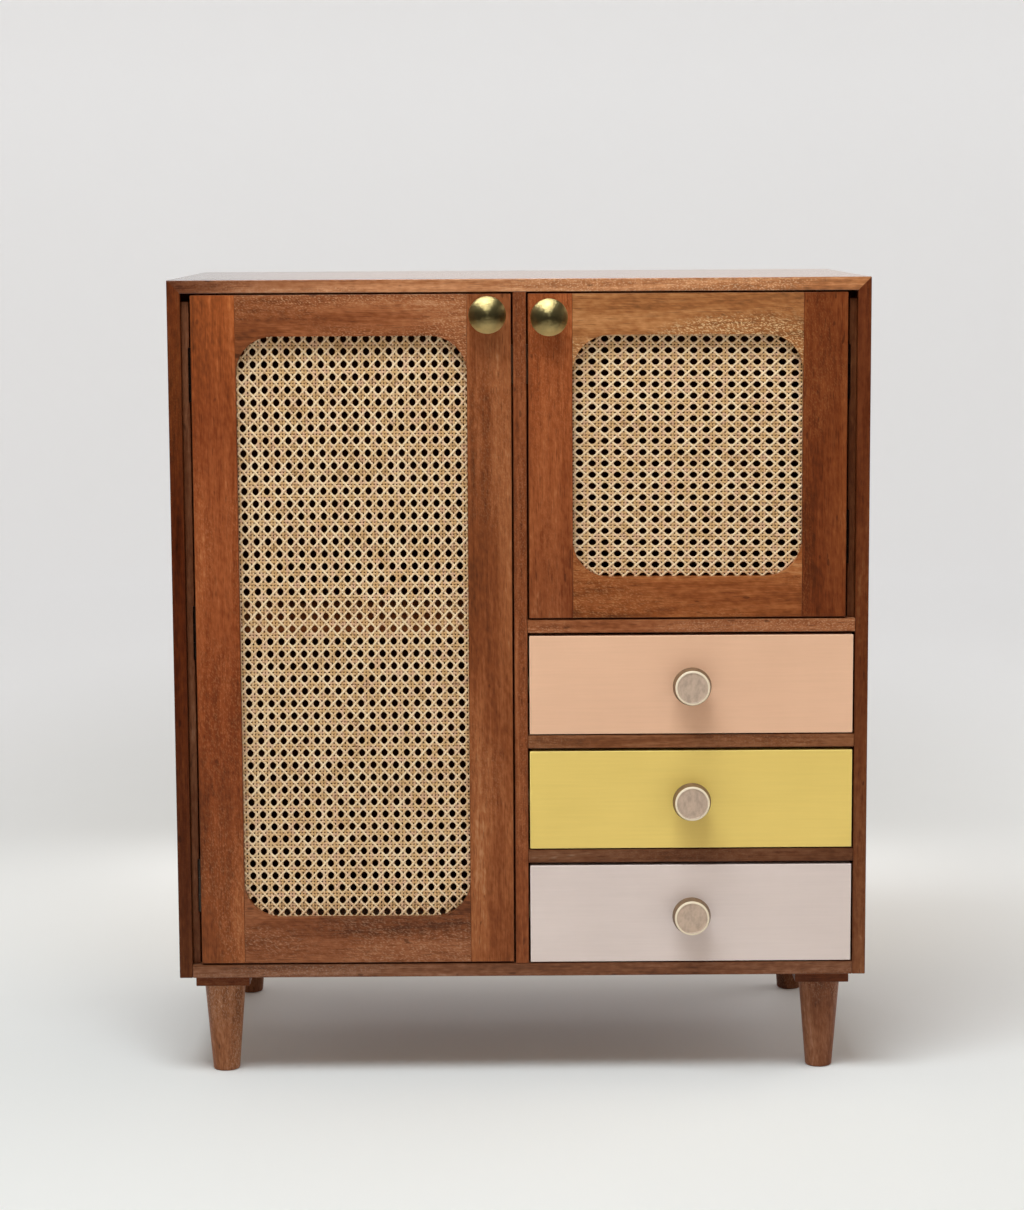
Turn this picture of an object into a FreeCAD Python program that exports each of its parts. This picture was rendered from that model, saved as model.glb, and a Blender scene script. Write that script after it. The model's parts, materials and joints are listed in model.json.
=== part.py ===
import FreeCAD, Part
import os
from types import SimpleNamespace

import Sketcher

# A cane-door cabinet on turned legs: a tall cupboard on the left, and on the right a small
# cupboard above three drawers. Lengths are in millimetres.
# Frame: +X to the right seen from the front, +Y to the back, +Z up. The origin is on the floor,
# under the middle of the cabinet and of the drawer knobs that stand out in front of it.

SIZES = {
    # Carcass boards
    "carcass_width": 790,
    "carcass_depth": 450,
    "carcass_height": 800,
    "board_thickness": 15,
    "tall_bay_width": 372.5,
    "back_thickness": 6,
    "back_rebate": 7,
    "back_fit": 0.5,
    "drawer_opening_height": 118,
    "drawer_rail_height": 15,
    "drawer_rail_depth": 60,
    # Legs
    "leg_length": 106,
    "leg_top_diameter": 48,
    "leg_foot_diameter": 31,
    "leg_foot_round": 2.5,
    "leg_block_width": 62,
    "leg_block_thickness": 14,
    "leg_block_inset": 17,
    "leg_bolt_diameter": 8,
    "leg_bolt_in_leg": 35,
    "leg_bolt_in_board": 11,
    "leg_bolt_fit": 0.05,
    # Shelf in the tall cupboard
    "shelf_clear_height": 380,
    "shelf_setback": 42,
    "shelf_rear_gap": 3,
    "shelf_side_gap": 0.8,
    "shelf_pin_diameter": 5,
    "shelf_pin_reach": 9,
    "shelf_pin_depth": 8,
    "shelf_pin_inset": 50,
    "shelf_pin_fit": 0.05,
    # Hinges and the battens that carry them
    "hinge_zone": 11,
    "hinge_gap": 2.4,
    "hinge_pin_setback": 8,
    "hinge_pin_diameter": 2.4,
    "hinge_pin_fit": 0.05,
    "hinge_pin_head": 1.2,
    "hinge_barrel_diameter": 5.2,
    "hinge_barrel_room": 0.4,
    "hinge_leaf_thickness": 1.2,
    "hinge_leaf_depth": 9.5,
    "hinge_length": 60,
    "hinge_knuckle_gap": 0.3,
    "hinge_inset": 90,
    "batten_setback": 10,
    "batten_depth": 24,
    "batten_top_gap": 9,
    # Doors
    "door_thickness": 18,
    "door_gap": 2,
    "stile_width": 50,
    "top_rail_width": 46.5,
    "tall_bottom_rail_width": 53,
    "small_bottom_rail_width": 46.5,
    "opening_corner_radius": 42,
    "corner_ear_stop": 6,
    "tenon_length": 18,
    "tenon_thickness": 6,
    "tenon_setback": 4,
    "tenon_width": 24,
    "tenon_inset": 7,
    "tenon_fit": 0.2,
    "cane_rebate_depth": 8,
    "cane_rebate_width": 10,
    "cane_thickness": 2,
    "cane_fit": 0.5,
    "cane_grid_pitch": 26,
    "cane_grid_opening": 12,
    # Magnetic catches
    "magnet_width": 14,
    "magnet_depth": 16,
    "magnet_height": 44,
    "magnet_drop": 60,
    "magnet_gap": 0.3,
    "strike_thickness": 1,
    "strike_width": 12,
    "strike_height": 38,
    "strike_inset": 1,
    # Brass door knobs
    "door_knob_diameter": 42,
    "door_knob_reach": 27,
    "door_knob_dome": 8.5,
    "door_knob_rim": 1.5,
    "door_knob_neck_diameter": 16,
    "door_knob_neck_length": 10,
    "tall_knob_inset": 26.5,
    "tall_knob_drop": 23,
    "small_knob_inset": 23.5,
    "small_knob_drop": 26,
    # Drawer knobs
    "drawer_knob_reach": 28,
    "drawer_knob_drum_diameter": 44,
    "drawer_knob_drum_depth": 13,
    "drawer_knob_face_diameter": 39.5,
    "drawer_knob_face_round": 1.5,
    "drawer_knob_rim": 1.6,
    "drawer_knob_dish": 0.6,
    "drawer_knob_neck_diameter": 22,
    "drawer_knob_neck_length": 6,
    # Screws that hold the knobs
    "knob_screw_diameter": 4,
    "knob_screw_in_knob": 11,
    "knob_screw_head_diameter": 8.5,
    "knob_screw_head_height": 2.5,
    "knob_screw_fit": 0.05,
    "knob_screw_end_room": 1,
    # Drawers
    "drawer_side_play": 2,
    "drawer_top_play": 3.5,
    "drawer_bottom_play": 1.5,
    "drawer_front_thickness": 18,
    "drawer_box_depth": 385,
    "drawer_box_height": 96,
    "drawer_box_lift": 7,
    "drawer_box_gap": 3,
    "drawer_side_thickness": 14,
    "drawer_back_thickness": 12,
    "drawer_bottom_thickness": 5,
    "drawer_bottom_lift": 8,
    "drawer_bottom_groove": 5,
    "drawer_bottom_fit": 0.5,
    # Drawer runners
    "runner_width": 10,
    "runner_height": 16,
    "runner_length": 415,
    "runner_side_fit": 0.5,
    "runner_top_fit": 0.3,
    "runner_under_fit": 0.8,
    "runner_stop_gap": 0.5,
}

DRAWERS = ("lower", "middle", "upper")
HINGE_LEVELS = {"tall_door": ("low", "middle", "high"), "small_door": ("low", "high")}
# Two knuckles on the fixed leaf, and one between them on the swinging leaf
HINGE_KNUCKLES = 3
# How far a cutting shape runs past the face that it cuts
OVERRUN = 1

doc = FreeCAD.newDocument("cane_cabinet")
sheet = doc.addObject("Spreadsheet::Sheet", "Sizes")
for row, (size_name, size_value) in enumerate(SIZES.items(), start=1):
    sheet.set(f"A{row}", size_name)
    sheet.set(f"B{row}", str(size_value))
    sheet.setAlias(f"B{row}", size_name)
doc.recompute()


class Size:
    """A length held twice: as its number, and as the sheet expression that gives it."""

    def __init__(self, value, text):
        self.value = value
        self.text = text

    def __add__(self, other):
        other = as_size(other)
        return Size(self.value + other.value, f"({self.text} + {other.text})")

    def __radd__(self, other):
        return as_size(other) + self

    def __sub__(self, other):
        other = as_size(other)
        return Size(self.value - other.value, f"({self.text} - {other.text})")

    def __rsub__(self, other):
        return as_size(other) - self

    def __mul__(self, other):
        other = as_size(other)
        return Size(self.value * other.value, f"({self.text} * {other.text})")

    def __rmul__(self, other):
        return as_size(other) * self

    def __truediv__(self, other):
        other = as_size(other)
        return Size(self.value / other.value, f"({self.text} / {other.text})")

    def __neg__(self):
        return as_size(0) - self


def as_size(value):
    """The value itself if it is a Size, or a plain number as one."""
    return value if isinstance(value, Size) else Size(value, str(value))


s = SimpleNamespace(**{name: Size(value, f"Sizes.{name}") for name, value in SIZES.items()})
subparts = []


# Drawing helpers

def place(thing, x, y, z):
    """Binds an object's position to three sizes."""
    for axis, size in zip("xyz", (x, y, z)):
        thing.setExpression(f"Placement.Base.{axis}", as_size(size).text)


def block(name, x_span, y_span, z_span):
    """A straight block between two faces along each axis, given in either order."""
    board = doc.addObject("Part::Box", name)
    starts = []
    for side, span in zip(("Length", "Width", "Height"), (x_span, y_span, z_span)):
        low, high = sorted(map(as_size, span), key=lambda size: size.value)
        board.setExpression(side, (high - low).text)
        starts.append(low)
    place(board, *starts)
    return board


TURNS = {
    "x": FreeCAD.Rotation(FreeCAD.Vector(0, 1, 0), 90),
    "y": FreeCAD.Rotation(FreeCAD.Vector(1, 0, 0), -90),
    "-y": FreeCAD.Rotation(FreeCAD.Vector(1, 0, 0), 90),
    "z": FreeCAD.Rotation(),
}


def rod(name, along, start, length, radius):
    """A round rod or hole that starts at a point and runs along x, y, -y or z."""
    cylinder = doc.addObject("Part::Cylinder", name)
    cylinder.setExpression("Radius", radius.text)
    cylinder.setExpression("Height", length.text)
    cylinder.Placement = FreeCAD.Placement(FreeCAD.Vector(), TURNS[along])
    place(cylinder, *start)
    return cylinder


def fuse(name, shapes):
    """One solid from several that overlap or touch."""
    joined = doc.addObject("Part::MultiFuse", name)
    joined.Shapes = shapes
    joined.Refine = True
    return joined


def cut(name, base, tools):
    """The base with every tool taken out of it."""
    trimmed = doc.addObject("Part::Cut", name)
    trimmed.Base = base
    trimmed.Tool = tools[0] if len(tools) == 1 else fuse(f"{name}_cuts", tools)
    return trimmed


def subpart(name, thing):
    """Names a finished object as one piece of the cabinet."""
    thing.Label = name
    subparts.append(thing)
    return thing


def set_of(name, solids):
    """Several like solids kept as one piece of the list."""
    compound = doc.addObject("Part::Compound", name)
    compound.Links = solids
    return subpart(name, compound)


def outline(sketch, corners):
    """Draws a closed outline through corners of (across, up), each held to the sizes it comes from.

    A corner of (across, up, radius, bulge) is reached by an arc, to the right of the way there when
    bulge is 1 and to the left when it is -1.
    """
    points = [FreeCAD.Vector(as_size(c[0]).value, as_size(c[1]).value, 0) for c in corners]
    ends = []
    for index, corner in enumerate(corners):
        start, end = points[index - 1], points[index]
        edge = Part.LineSegment(start, end)
        if len(corner) == 4:
            radius, bulge = corner[2].value, corner[3]
            chord = end - start
            rise = radius - (radius ** 2 - (chord.Length / 2) ** 2) ** 0.5
            side = FreeCAD.Vector(chord.y, -chord.x, 0).normalize() * bulge
            edge = Part.Arc(start, (start + end) / 2 + side * rise, end)
        number = sketch.addGeometry(edge, False)
        starts_here = sketch.getPoint(number, 1).distanceToPoint(start) < sketch.getPoint(
            number, 2).distanceToPoint(start)
        ends.append((number, 1 if starts_here else 2, 2 if starts_here else 1))
        if len(corner) == 4:
            hold = sketch.addConstraint(Sketcher.Constraint("Radius", number, corner[2].value))
            sketch.setExpression(f"Constraints[{hold}]", corner[2].text)
    for index, corner in enumerate(corners):
        number, _, tip = ends[index]
        next_number, next_start, _ = ends[(index + 1) % len(corners)]
        sketch.addConstraint(Sketcher.Constraint("Coincident", number, tip, next_number, next_start))
        for kind, axis, size in zip(("DistanceX", "DistanceY"), (-2, -1), map(as_size, corner[:2])):
            if size.value == 0:
                sketch.addConstraint(Sketcher.Constraint("PointOnObject", number, tip, axis))
                continue
            hold = sketch.addConstraint(Sketcher.Constraint(kind, -1, 1, number, tip, size.value))
            sketch.setExpression(f"Constraints[{hold}]", size.text)


def sketched_body(name, corners):
    """A body with one outline drawn on its upright front plane."""
    body = doc.addObject("PartDesign::Body", name)
    sketch = body.newObject("Sketcher::SketchObject", f"{name}_outline")
    plane = next(feature for feature in body.Origin.OriginFeatures if feature.Role == "XZ_Plane")
    sketch.AttachmentSupport = [(plane, "")]
    sketch.MapMode = "FlatFace"
    outline(sketch, corners)
    return body, sketch


def sawn(name, corners, y_start, depth):
    """A board of one outline, seen from the front, that runs back from y_start."""
    body, sketch = sketched_body(name, corners)
    pad = body.newObject("PartDesign::Pad", f"{name}_pad")
    pad.Profile = sketch
    pad.Reversed = True
    pad.setExpression("Length", depth.text)
    place(body, 0, y_start, 0)
    return body


def turned(name, corners, along, x, y, z):
    """A lathe-turned piece: half its section, as (radius, height), spun about its own axis."""
    body, sketch = sketched_body(name, corners)
    spin = body.newObject("PartDesign::Revolution", f"{name}_spin")
    spin.Profile = sketch
    spin.ReferenceAxis = (sketch, ["V_Axis"])
    spin.Angle = 360
    body.Placement = FreeCAD.Placement(FreeCAD.Vector(), TURNS[along])
    place(body, x, y, z)
    return body


# Main faces of the carcass

left_outer = -s.carcass_width / 2
right_outer = s.carcass_width / 2
left_inner = left_outer + s.board_thickness
right_inner = right_outer - s.board_thickness
front = (s.drawer_knob_reach - s.carcass_depth) / 2
back = front + s.carcass_depth
back_panel_face = back - s.back_thickness
carcass_bottom = s.leg_length + s.leg_block_thickness
carcass_top = carcass_bottom + s.carcass_height
floor_top = carcass_bottom + s.board_thickness
ceiling = carcass_top - s.board_thickness
partition_left = left_inner + s.tall_bay_width
partition_right = partition_left + s.board_thickness
drawer_pitch = s.drawer_opening_height + s.drawer_rail_height
cupboard_floor_bottom = floor_top + len(DRAWERS) * drawer_pitch - s.drawer_rail_height
cupboard_floor_top = cupboard_floor_bottom + s.board_thickness
door_back = front + s.door_thickness
whole_depth = (front, back_panel_face)


# Legs, their blocks and bolts

leg_offset = s.leg_block_inset + s.leg_block_width / 2
leg_places = {
    "front_left": (left_outer + leg_offset, front + leg_offset),
    "front_right": (right_outer - leg_offset, front + leg_offset),
    "rear_left": (left_outer + leg_offset, back - leg_offset),
    "rear_right": (right_outer - leg_offset, back - leg_offset),
}
bolt_radius = s.leg_bolt_diameter / 2
bolt_hole_radius = bolt_radius + s.leg_bolt_fit
bolt_foot = s.leg_length - s.leg_bolt_in_leg
bolt_tip = carcass_bottom + s.leg_bolt_in_board


def leg(corner, x, y):
    """A round leg that tapers to a foot with a softened edge, bored for its bolt."""
    foot_radius = s.leg_foot_diameter / 2
    section = [
        (0, 0),
        (foot_radius - s.leg_foot_round, 0),
        (foot_radius, s.leg_foot_round, s.leg_foot_round, 1),
        (s.leg_top_diameter / 2, s.leg_length),
        (bolt_hole_radius, s.leg_length),
        (bolt_hole_radius, bolt_foot),
        (0, bolt_foot),
    ]
    subpart(f"{corner}_leg", turned(f"{corner}_leg", section, "z", x, y, 0))


def leg_block(corner, x, y):
    """The square plate between a leg and the bottom board."""
    half = s.leg_block_width / 2
    plate = block(f"{corner}_plate", (x - half, x + half), (y - half, y + half),
                  (s.leg_length, carcass_bottom))
    hole = rod(f"{corner}_plate_hole", "z", (x, y, s.leg_length - OVERRUN),
               s.leg_block_thickness + 2 * OVERRUN, bolt_hole_radius)
    return cut(f"{corner}_leg_block", plate, [hole])


for corner, (leg_x, leg_y) in leg_places.items():
    leg(corner, leg_x, leg_y)
set_of("leg_blocks", [leg_block(corner, x, y) for corner, (x, y) in leg_places.items()])
set_of("leg_bolts", [rod(f"{corner}_bolt", "z", (x, y, bolt_foot), bolt_tip - bolt_foot, bolt_radius)
                     for corner, (x, y) in leg_places.items()])


# Shelf pins, whose holes go into the boards beside the tall cupboard

shelf_bottom = floor_top + s.shelf_clear_height
shelf_front = front + s.shelf_setback
shelf_rear = back_panel_face - s.shelf_rear_gap
pin_radius = s.shelf_pin_diameter / 2
pin_height = shelf_bottom - pin_radius
pin_rows = (shelf_front + s.shelf_pin_inset, shelf_rear - s.shelf_pin_inset)
pin_length = s.shelf_pin_depth + s.shelf_pin_reach


def pin_holes(name, face, inwards):
    """The two blind holes for shelf pins in a face, drilled towards inwards."""
    bottom = face + inwards * s.shelf_pin_depth
    start = bottom if inwards < 0 else face - OVERRUN
    return [rod(f"{name}_pin_hole_{index}", "x", (start, y, pin_height), s.shelf_pin_depth + OVERRUN,
                pin_radius + s.shelf_pin_fit) for index, y in enumerate(pin_rows)]


pins = []
for index, y in enumerate(pin_rows):
    pins.append(rod(f"left_shelf_pin_{index}", "x", (left_inner - s.shelf_pin_depth, y, pin_height),
                    pin_length, pin_radius))
    pins.append(rod(f"right_shelf_pin_{index}", "x", (partition_left - s.shelf_pin_reach, y, pin_height),
                    pin_length, pin_radius))
set_of("shelf_pins", pins)
subpart("cupboard_shelf", block(
    "cupboard_shelf", (left_inner + s.shelf_side_gap, partition_left - s.shelf_side_gap),
    (shelf_front, shelf_rear), (shelf_bottom, shelf_bottom + s.board_thickness)))


# Carcass boards

def back_rebate_cut(name, x_span, z_span):
    """The step that lets the back panel into a board's rear edge."""
    return block(f"{name}_rebate", x_span, (back_panel_face, back + OVERRUN), z_span)


back_low = floor_top - s.back_rebate
back_high = ceiling + s.back_rebate

top_outline = [(left_outer, carcass_top), (left_inner, ceiling), (right_inner, ceiling),
               (right_outer, carcass_top)]
top_board = sawn("top_board", top_outline, front, s.carcass_depth)
top_rebate = back_rebate_cut("top", (left_inner - s.back_rebate, right_inner + s.back_rebate),
                             (ceiling - OVERRUN, back_high))
subpart("top_panel", cut("top_panel", top_board, [top_rebate]))

left_outline = [(left_outer, carcass_bottom), (left_inner, carcass_bottom), (left_inner, ceiling),
                (left_outer, carcass_top)]
left_board = sawn("left_board", left_outline, front, s.carcass_depth)
left_rebate = back_rebate_cut("left", (left_inner - s.back_rebate, left_inner + OVERRUN),
                              (back_low, back_high))
left_cuts = [left_rebate] + pin_holes("left", left_inner, -1)
subpart("left_side_panel", cut("left_side_panel", left_board, left_cuts))

right_outline = [(right_inner, carcass_bottom), (right_outer, carcass_bottom), (right_outer, carcass_top),
                 (right_inner, ceiling)]
right_board = sawn("right_board", right_outline, front, s.carcass_depth)
right_rebate = back_rebate_cut("right", (right_inner - OVERRUN, right_inner + s.back_rebate),
                               (back_low, back_high))
subpart("right_side_panel", cut("right_side_panel", right_board, [right_rebate]))

bottom_board = block("bottom_board", (left_inner, right_inner), (front, back), (carcass_bottom, floor_top))
bottom_rebate = back_rebate_cut("bottom", (left_inner - OVERRUN, right_inner + OVERRUN),
                                (back_low, floor_top + OVERRUN))
bolt_holes = [rod(f"{corner}_board_hole", "z", (x, y, carcass_bottom - OVERRUN),
                  s.leg_bolt_in_board + OVERRUN, bolt_hole_radius)
              for corner, (x, y) in leg_places.items()]
subpart("bottom_panel", cut("bottom_panel", bottom_board, [bottom_rebate] + bolt_holes))

subpart("back_panel", block(
    "back_panel", (left_inner - s.back_rebate + s.back_fit, right_inner + s.back_rebate - s.back_fit),
    (back_panel_face, back), (back_low + s.back_fit, back_high - s.back_fit)))

partition_board = block("partition_board", (partition_left, partition_right), whole_depth,
                        (floor_top, ceiling))
partition_cuts = pin_holes("partition", partition_left, 1)
subpart("centre_partition", cut("centre_partition", partition_board, partition_cuts))

right_bay = (partition_right, right_inner)
subpart("cupboard_floor", block("cupboard_floor", right_bay, whole_depth,
                                (cupboard_floor_bottom, cupboard_floor_top)))
rails = []
for index in range(1, len(DRAWERS)):
    rail_top = floor_top + index * drawer_pitch
    rails.append(block(f"drawer_rail_{index}", right_bay, (front, front + s.drawer_rail_depth),
                       (rail_top - s.drawer_rail_height, rail_top)))
set_of("drawer_rails", rails)


# Hinges: a leaf let into the batten, a leaf let into the door, and a pin through both

barrel_radius = s.hinge_barrel_diameter / 2
notch_radius = barrel_radius + s.hinge_barrel_room
hinge_pin_radius = s.hinge_pin_diameter / 2
knuckle_length = (s.hinge_length - (HINGE_KNUCKLES - 1) * s.hinge_knuckle_gap) / HINGE_KNUCKLES
half_hinge = s.hinge_length / 2
hinge_y = front + s.hinge_pin_setback
leaf_rear = hinge_y + s.hinge_leaf_depth
leaf_front = hinge_y + notch_radius


def hinge_leaf(name, x, towards, height, knuckles):
    """A leaf beside the pin, on the side that towards points to, with the knuckles it carries."""
    near = x + towards * s.hinge_gap / 2
    leaf_span = (near, near + towards * s.hinge_leaf_thickness)
    leaf_height = (height - half_hinge, height + half_hinge)
    solids = [block(f"{name}_plate", leaf_span, (leaf_front, leaf_rear), leaf_height)]
    for index, (low, high) in enumerate(knuckles):
        solids.append(block(f"{name}_link_{index}", leaf_span, (hinge_y, leaf_front),
                            (height + low, height + high)))
        solids.append(rod(f"{name}_knuckle_{index}", "z", (x, hinge_y, height + low), high - low,
                          barrel_radius))
    bore = rod(f"{name}_bore", "z", (x, hinge_y, height - half_hinge - OVERRUN),
               s.hinge_length + 2 * OVERRUN, hinge_pin_radius + s.hinge_pin_fit)
    return cut(name, fuse(f"{name}_blank", solids), [bore])


def frame_leaf(name, x, towards_door, height):
    """The fixed leaf, with a knuckle at each end."""
    inner_end = knuckle_length / 2 + s.hinge_knuckle_gap
    ends = [(-half_hinge, -inner_end), (inner_end, half_hinge)]
    return hinge_leaf(name, x, -towards_door, height, ends)


def door_leaf(name, x, towards_door, height):
    """The leaf that swings with the door, with the middle knuckle."""
    return hinge_leaf(name, x, towards_door, height, [(-knuckle_length / 2, knuckle_length / 2)])


def hinge_pin(name, x, height):
    """The pin through the knuckles, with a flat head that rests on the top one."""
    shank = rod(f"{name}_shank", "z", (x, hinge_y, height - half_hinge), s.hinge_length, hinge_pin_radius)
    head = rod(f"{name}_head", "z", (x, hinge_y, height + half_hinge), s.hinge_pin_head, barrel_radius)
    return fuse(name, [shank, head])


def hinge_seat(name, x, towards, height):
    """What is cut from a wooden edge beside the pin: room for the barrel, and a bed for the leaf."""
    reach = half_hinge + s.hinge_pin_head + s.hinge_barrel_room
    notch = rod(f"{name}_notch", "z", (x, hinge_y, height - reach), 2 * reach, notch_radius)
    bed_floor = x + towards * (s.hinge_gap / 2 + s.hinge_leaf_thickness)
    bed = block(f"{name}_bed", (x, bed_floor), (hinge_y, leaf_rear),
                (height - half_hinge, height + half_hinge))
    return [notch, bed]


# Door layout: towards is 1 where the door lies to the right of its hinge, and -1 to the left

def door_layout(prefix, towards, side_face, free_edge, low, bottom_rail, knob_inset, knob_drop):
    """The main lines of one door."""
    hinge_edge = side_face + towards * s.hinge_zone
    high = ceiling - s.door_gap
    first_hinge = low + s.hinge_inset
    last_hinge = high - s.hinge_inset
    last_index = len(HINGE_LEVELS[prefix]) - 1
    step = (last_hinge - first_hinge) / last_index
    return SimpleNamespace(
        prefix=prefix, towards=towards, side_face=side_face, free_edge=free_edge, low=low, high=high,
        hinge_edge=hinge_edge, pin_x=hinge_edge - towards * s.hinge_gap / 2,
        hinge_heights=[first_hinge + index * step for index in range(last_index + 1)],
        hinge_jamb=hinge_edge + towards * s.stile_width, knob_jamb=free_edge - towards * s.stile_width,
        opening_low=low + bottom_rail, opening_high=high - s.top_rail_width,
        knob_x=free_edge - towards * knob_inset, knob_z=high - knob_drop)


tall = door_layout("tall_door", 1, left_inner, partition_left - s.door_gap, floor_top + s.door_gap,
                   s.tall_bottom_rail_width, s.tall_knob_inset, s.tall_knob_drop)
small = door_layout("small_door", -1, right_inner, partition_right + s.door_gap,
                    cupboard_floor_top + s.door_gap, s.small_bottom_rail_width, s.small_knob_inset,
                    s.small_knob_drop)
doors = (tall, small)


def hinge_batten(name, door, low):
    """The recessed strip on the side panel that the fixed leaves are let into."""
    edge = door.hinge_edge - door.towards * s.hinge_gap
    batten_front = front + s.batten_setback
    strip = block(f"{name}_strip", (door.side_face, edge), (batten_front, batten_front + s.batten_depth),
                  (low, ceiling - s.batten_top_gap))
    seats = []
    for index, height in enumerate(door.hinge_heights):
        seats += hinge_seat(f"{name}_seat_{index}", door.pin_x, -door.towards, height)
    subpart(name, cut(name, strip, seats))


hinge_batten("left_hinge_batten", tall, floor_top)
hinge_batten("right_hinge_batten", small, cupboard_floor_top)
hinge_spots = [(f"{door.prefix}_hinge_{index}", door, height)
               for door in doors for index, height in enumerate(door.hinge_heights)]
set_of("hinge_frame_leaves", [frame_leaf(f"{name}_frame_leaf", door.pin_x, door.towards, height)
                              for name, door, height in hinge_spots])
set_of("hinge_pins", [hinge_pin(f"{name}_pin", door.pin_x, height) for name, door, height in hinge_spots])


# Door frames: stiles run the full height, rails are tenoned between them

door_depth = (front, door_back)
front_layer_back = door_back - s.cane_rebate_depth
cane_back = front_layer_back + s.cane_thickness
tenon_span_y = (front + s.tenon_setback, front + s.tenon_setback + s.tenon_thickness)


def tenon_span_z(edge, inwards, room):
    """Where a tenon lies between a rail's outer edge and its middle, with room all round."""
    near = edge + inwards * (s.tenon_inset - room)
    return (near, near + inwards * (s.tenon_width + 2 * room))


def rail_ends(door):
    """The outer edge of each rail, and which way its middle lies."""
    return {"bottom": (door.low, 1), "top": (door.high, -1)}


def stile_cuts(name, door, jamb, into):
    """The mortises and the stepped seat for the cane in a stile, cut towards into."""
    cuts = []
    for rail, (edge, inwards) in rail_ends(door).items():
        mortise_floor = jamb + into * (s.tenon_length + s.tenon_fit)
        cuts.append(block(f"{name}_{rail}_mortise", (jamb - into * OVERRUN, mortise_floor),
                          (tenon_span_y[0] - s.tenon_fit, tenon_span_y[1] + s.tenon_fit),
                          tenon_span_z(edge, inwards, s.tenon_fit)))
    cuts.append(block(f"{name}_cane_seat", (jamb - into * OVERRUN, jamb + into * s.cane_rebate_width),
                      (front_layer_back, door_back + OVERRUN),
                      (door.opening_low - s.cane_rebate_width, door.opening_high + s.cane_rebate_width)))
    return cuts


def hinge_stile(door):
    """The upright on the hinge side, with beds for the swinging leaves."""
    name = f"{door.prefix}_hinge_stile"
    plank = block(f"{name}_plank", (door.hinge_edge, door.hinge_jamb), door_depth, (door.low, door.high))
    cuts = stile_cuts(name, door, door.hinge_jamb, -door.towards)
    for index, height in enumerate(door.hinge_heights):
        cuts += hinge_seat(f"{name}_seat_{index}", door.pin_x, door.towards, height)
    subpart(name, cut(name, plank, cuts))


def knob_stile(door):
    """The upright on the free side, drilled for the knob's screw."""
    name = f"{door.prefix}_knob_stile"
    plank = block(f"{name}_plank", (door.knob_jamb, door.free_edge), door_depth, (door.low, door.high))
    cuts = stile_cuts(name, door, door.knob_jamb, door.towards)
    cuts.append(rod(f"{name}_screw_hole", "y", (door.knob_x, front - OVERRUN, door.knob_z),
                    s.door_thickness + 2 * OVERRUN, s.knob_screw_diameter / 2 + s.knob_screw_fit))
    subpart(name, cut(name, plank, cuts))


def opening_tool(door):
    """The window of a door, with round corners, as a cutting shape."""
    name = f"{door.prefix}_window"
    radius = s.opening_corner_radius
    left, right = sorted((door.hinge_jamb, door.knob_jamb), key=lambda size: size.value)
    low, high = door.opening_low, door.opening_high
    span_y = (front - OVERRUN, door_back + OVERRUN)
    shapes = [block(f"{name}_upright", (left + radius, right - radius), span_y, (low, high)),
              block(f"{name}_level", (left, right), span_y, (low + radius, high - radius))]
    for index, x in enumerate((left + radius, right - radius)):
        for level, z in enumerate((low + radius, high - radius)):
            shapes.append(rod(f"{name}_corner_{index}_{level}", "y", (x, span_y[0], z),
                              span_y[1] - span_y[0], radius))
    return fuse(name, shapes)


def door_rail(door, rail, window):
    """A rail whose front layer spreads into ears that round the window's corners."""
    name = f"{door.prefix}_{rail}_rail"
    edge, inwards = rail_ends(door)[rail]
    jambs = (door.hinge_jamb, door.knob_jamb)
    window_edge = door.opening_low if rail == "bottom" else door.opening_high
    ear_tip = window_edge + inwards * (s.opening_corner_radius - s.corner_ear_stop)
    face_blank = block(f"{name}_face_blank", jambs, (front, front_layer_back), (edge, ear_tip))
    face = cut(f"{name}_face", face_blank, [window])
    core = block(f"{name}_core", jambs, (front_layer_back, door_back),
                 (edge, window_edge - inwards * s.cane_rebate_width))
    tenon_ends = (door.hinge_jamb - door.towards * s.tenon_length,
                  door.knob_jamb + door.towards * s.tenon_length)
    tenon = block(f"{name}_tenons", tenon_ends, tenon_span_y, tenon_span_z(edge, inwards, 0))
    subpart(name, fuse(name, [face, core, tenon]))


def cane_bands(low, high, room):
    """The bands of a cane sheet along one axis, with even openings between them from low to high."""
    count = round((high - low).value / s.cane_grid_pitch.value)
    pitch = (high - low) / count
    half_band = (pitch - s.cane_grid_opening) / 2
    middles = [low + pitch * index for index in range(count + 1)]
    bands = [(middle - half_band, middle + half_band) for middle in middles]
    bands[0] = (low - room, low + half_band)
    bands[-1] = (high - half_band, high + room)
    return bands


def cane_sheet(door, name, room):
    """A coarse grid of bands that stands for the woven cane, with its edges in the seat."""
    left, right = sorted((door.hinge_jamb, door.knob_jamb), key=lambda size: size.value)
    low, high = door.opening_low, door.opening_high
    span_y = (front_layer_back, cane_back)
    bands = [block(f"{name}_upright_{index}", band, span_y, (low - room, high + room))
             for index, band in enumerate(cane_bands(left, right, room))]
    bands += [block(f"{name}_level_{index}", (left - room, right + room), span_y, band)
              for index, band in enumerate(cane_bands(low, high, room))]
    return fuse(name, bands)


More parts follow.
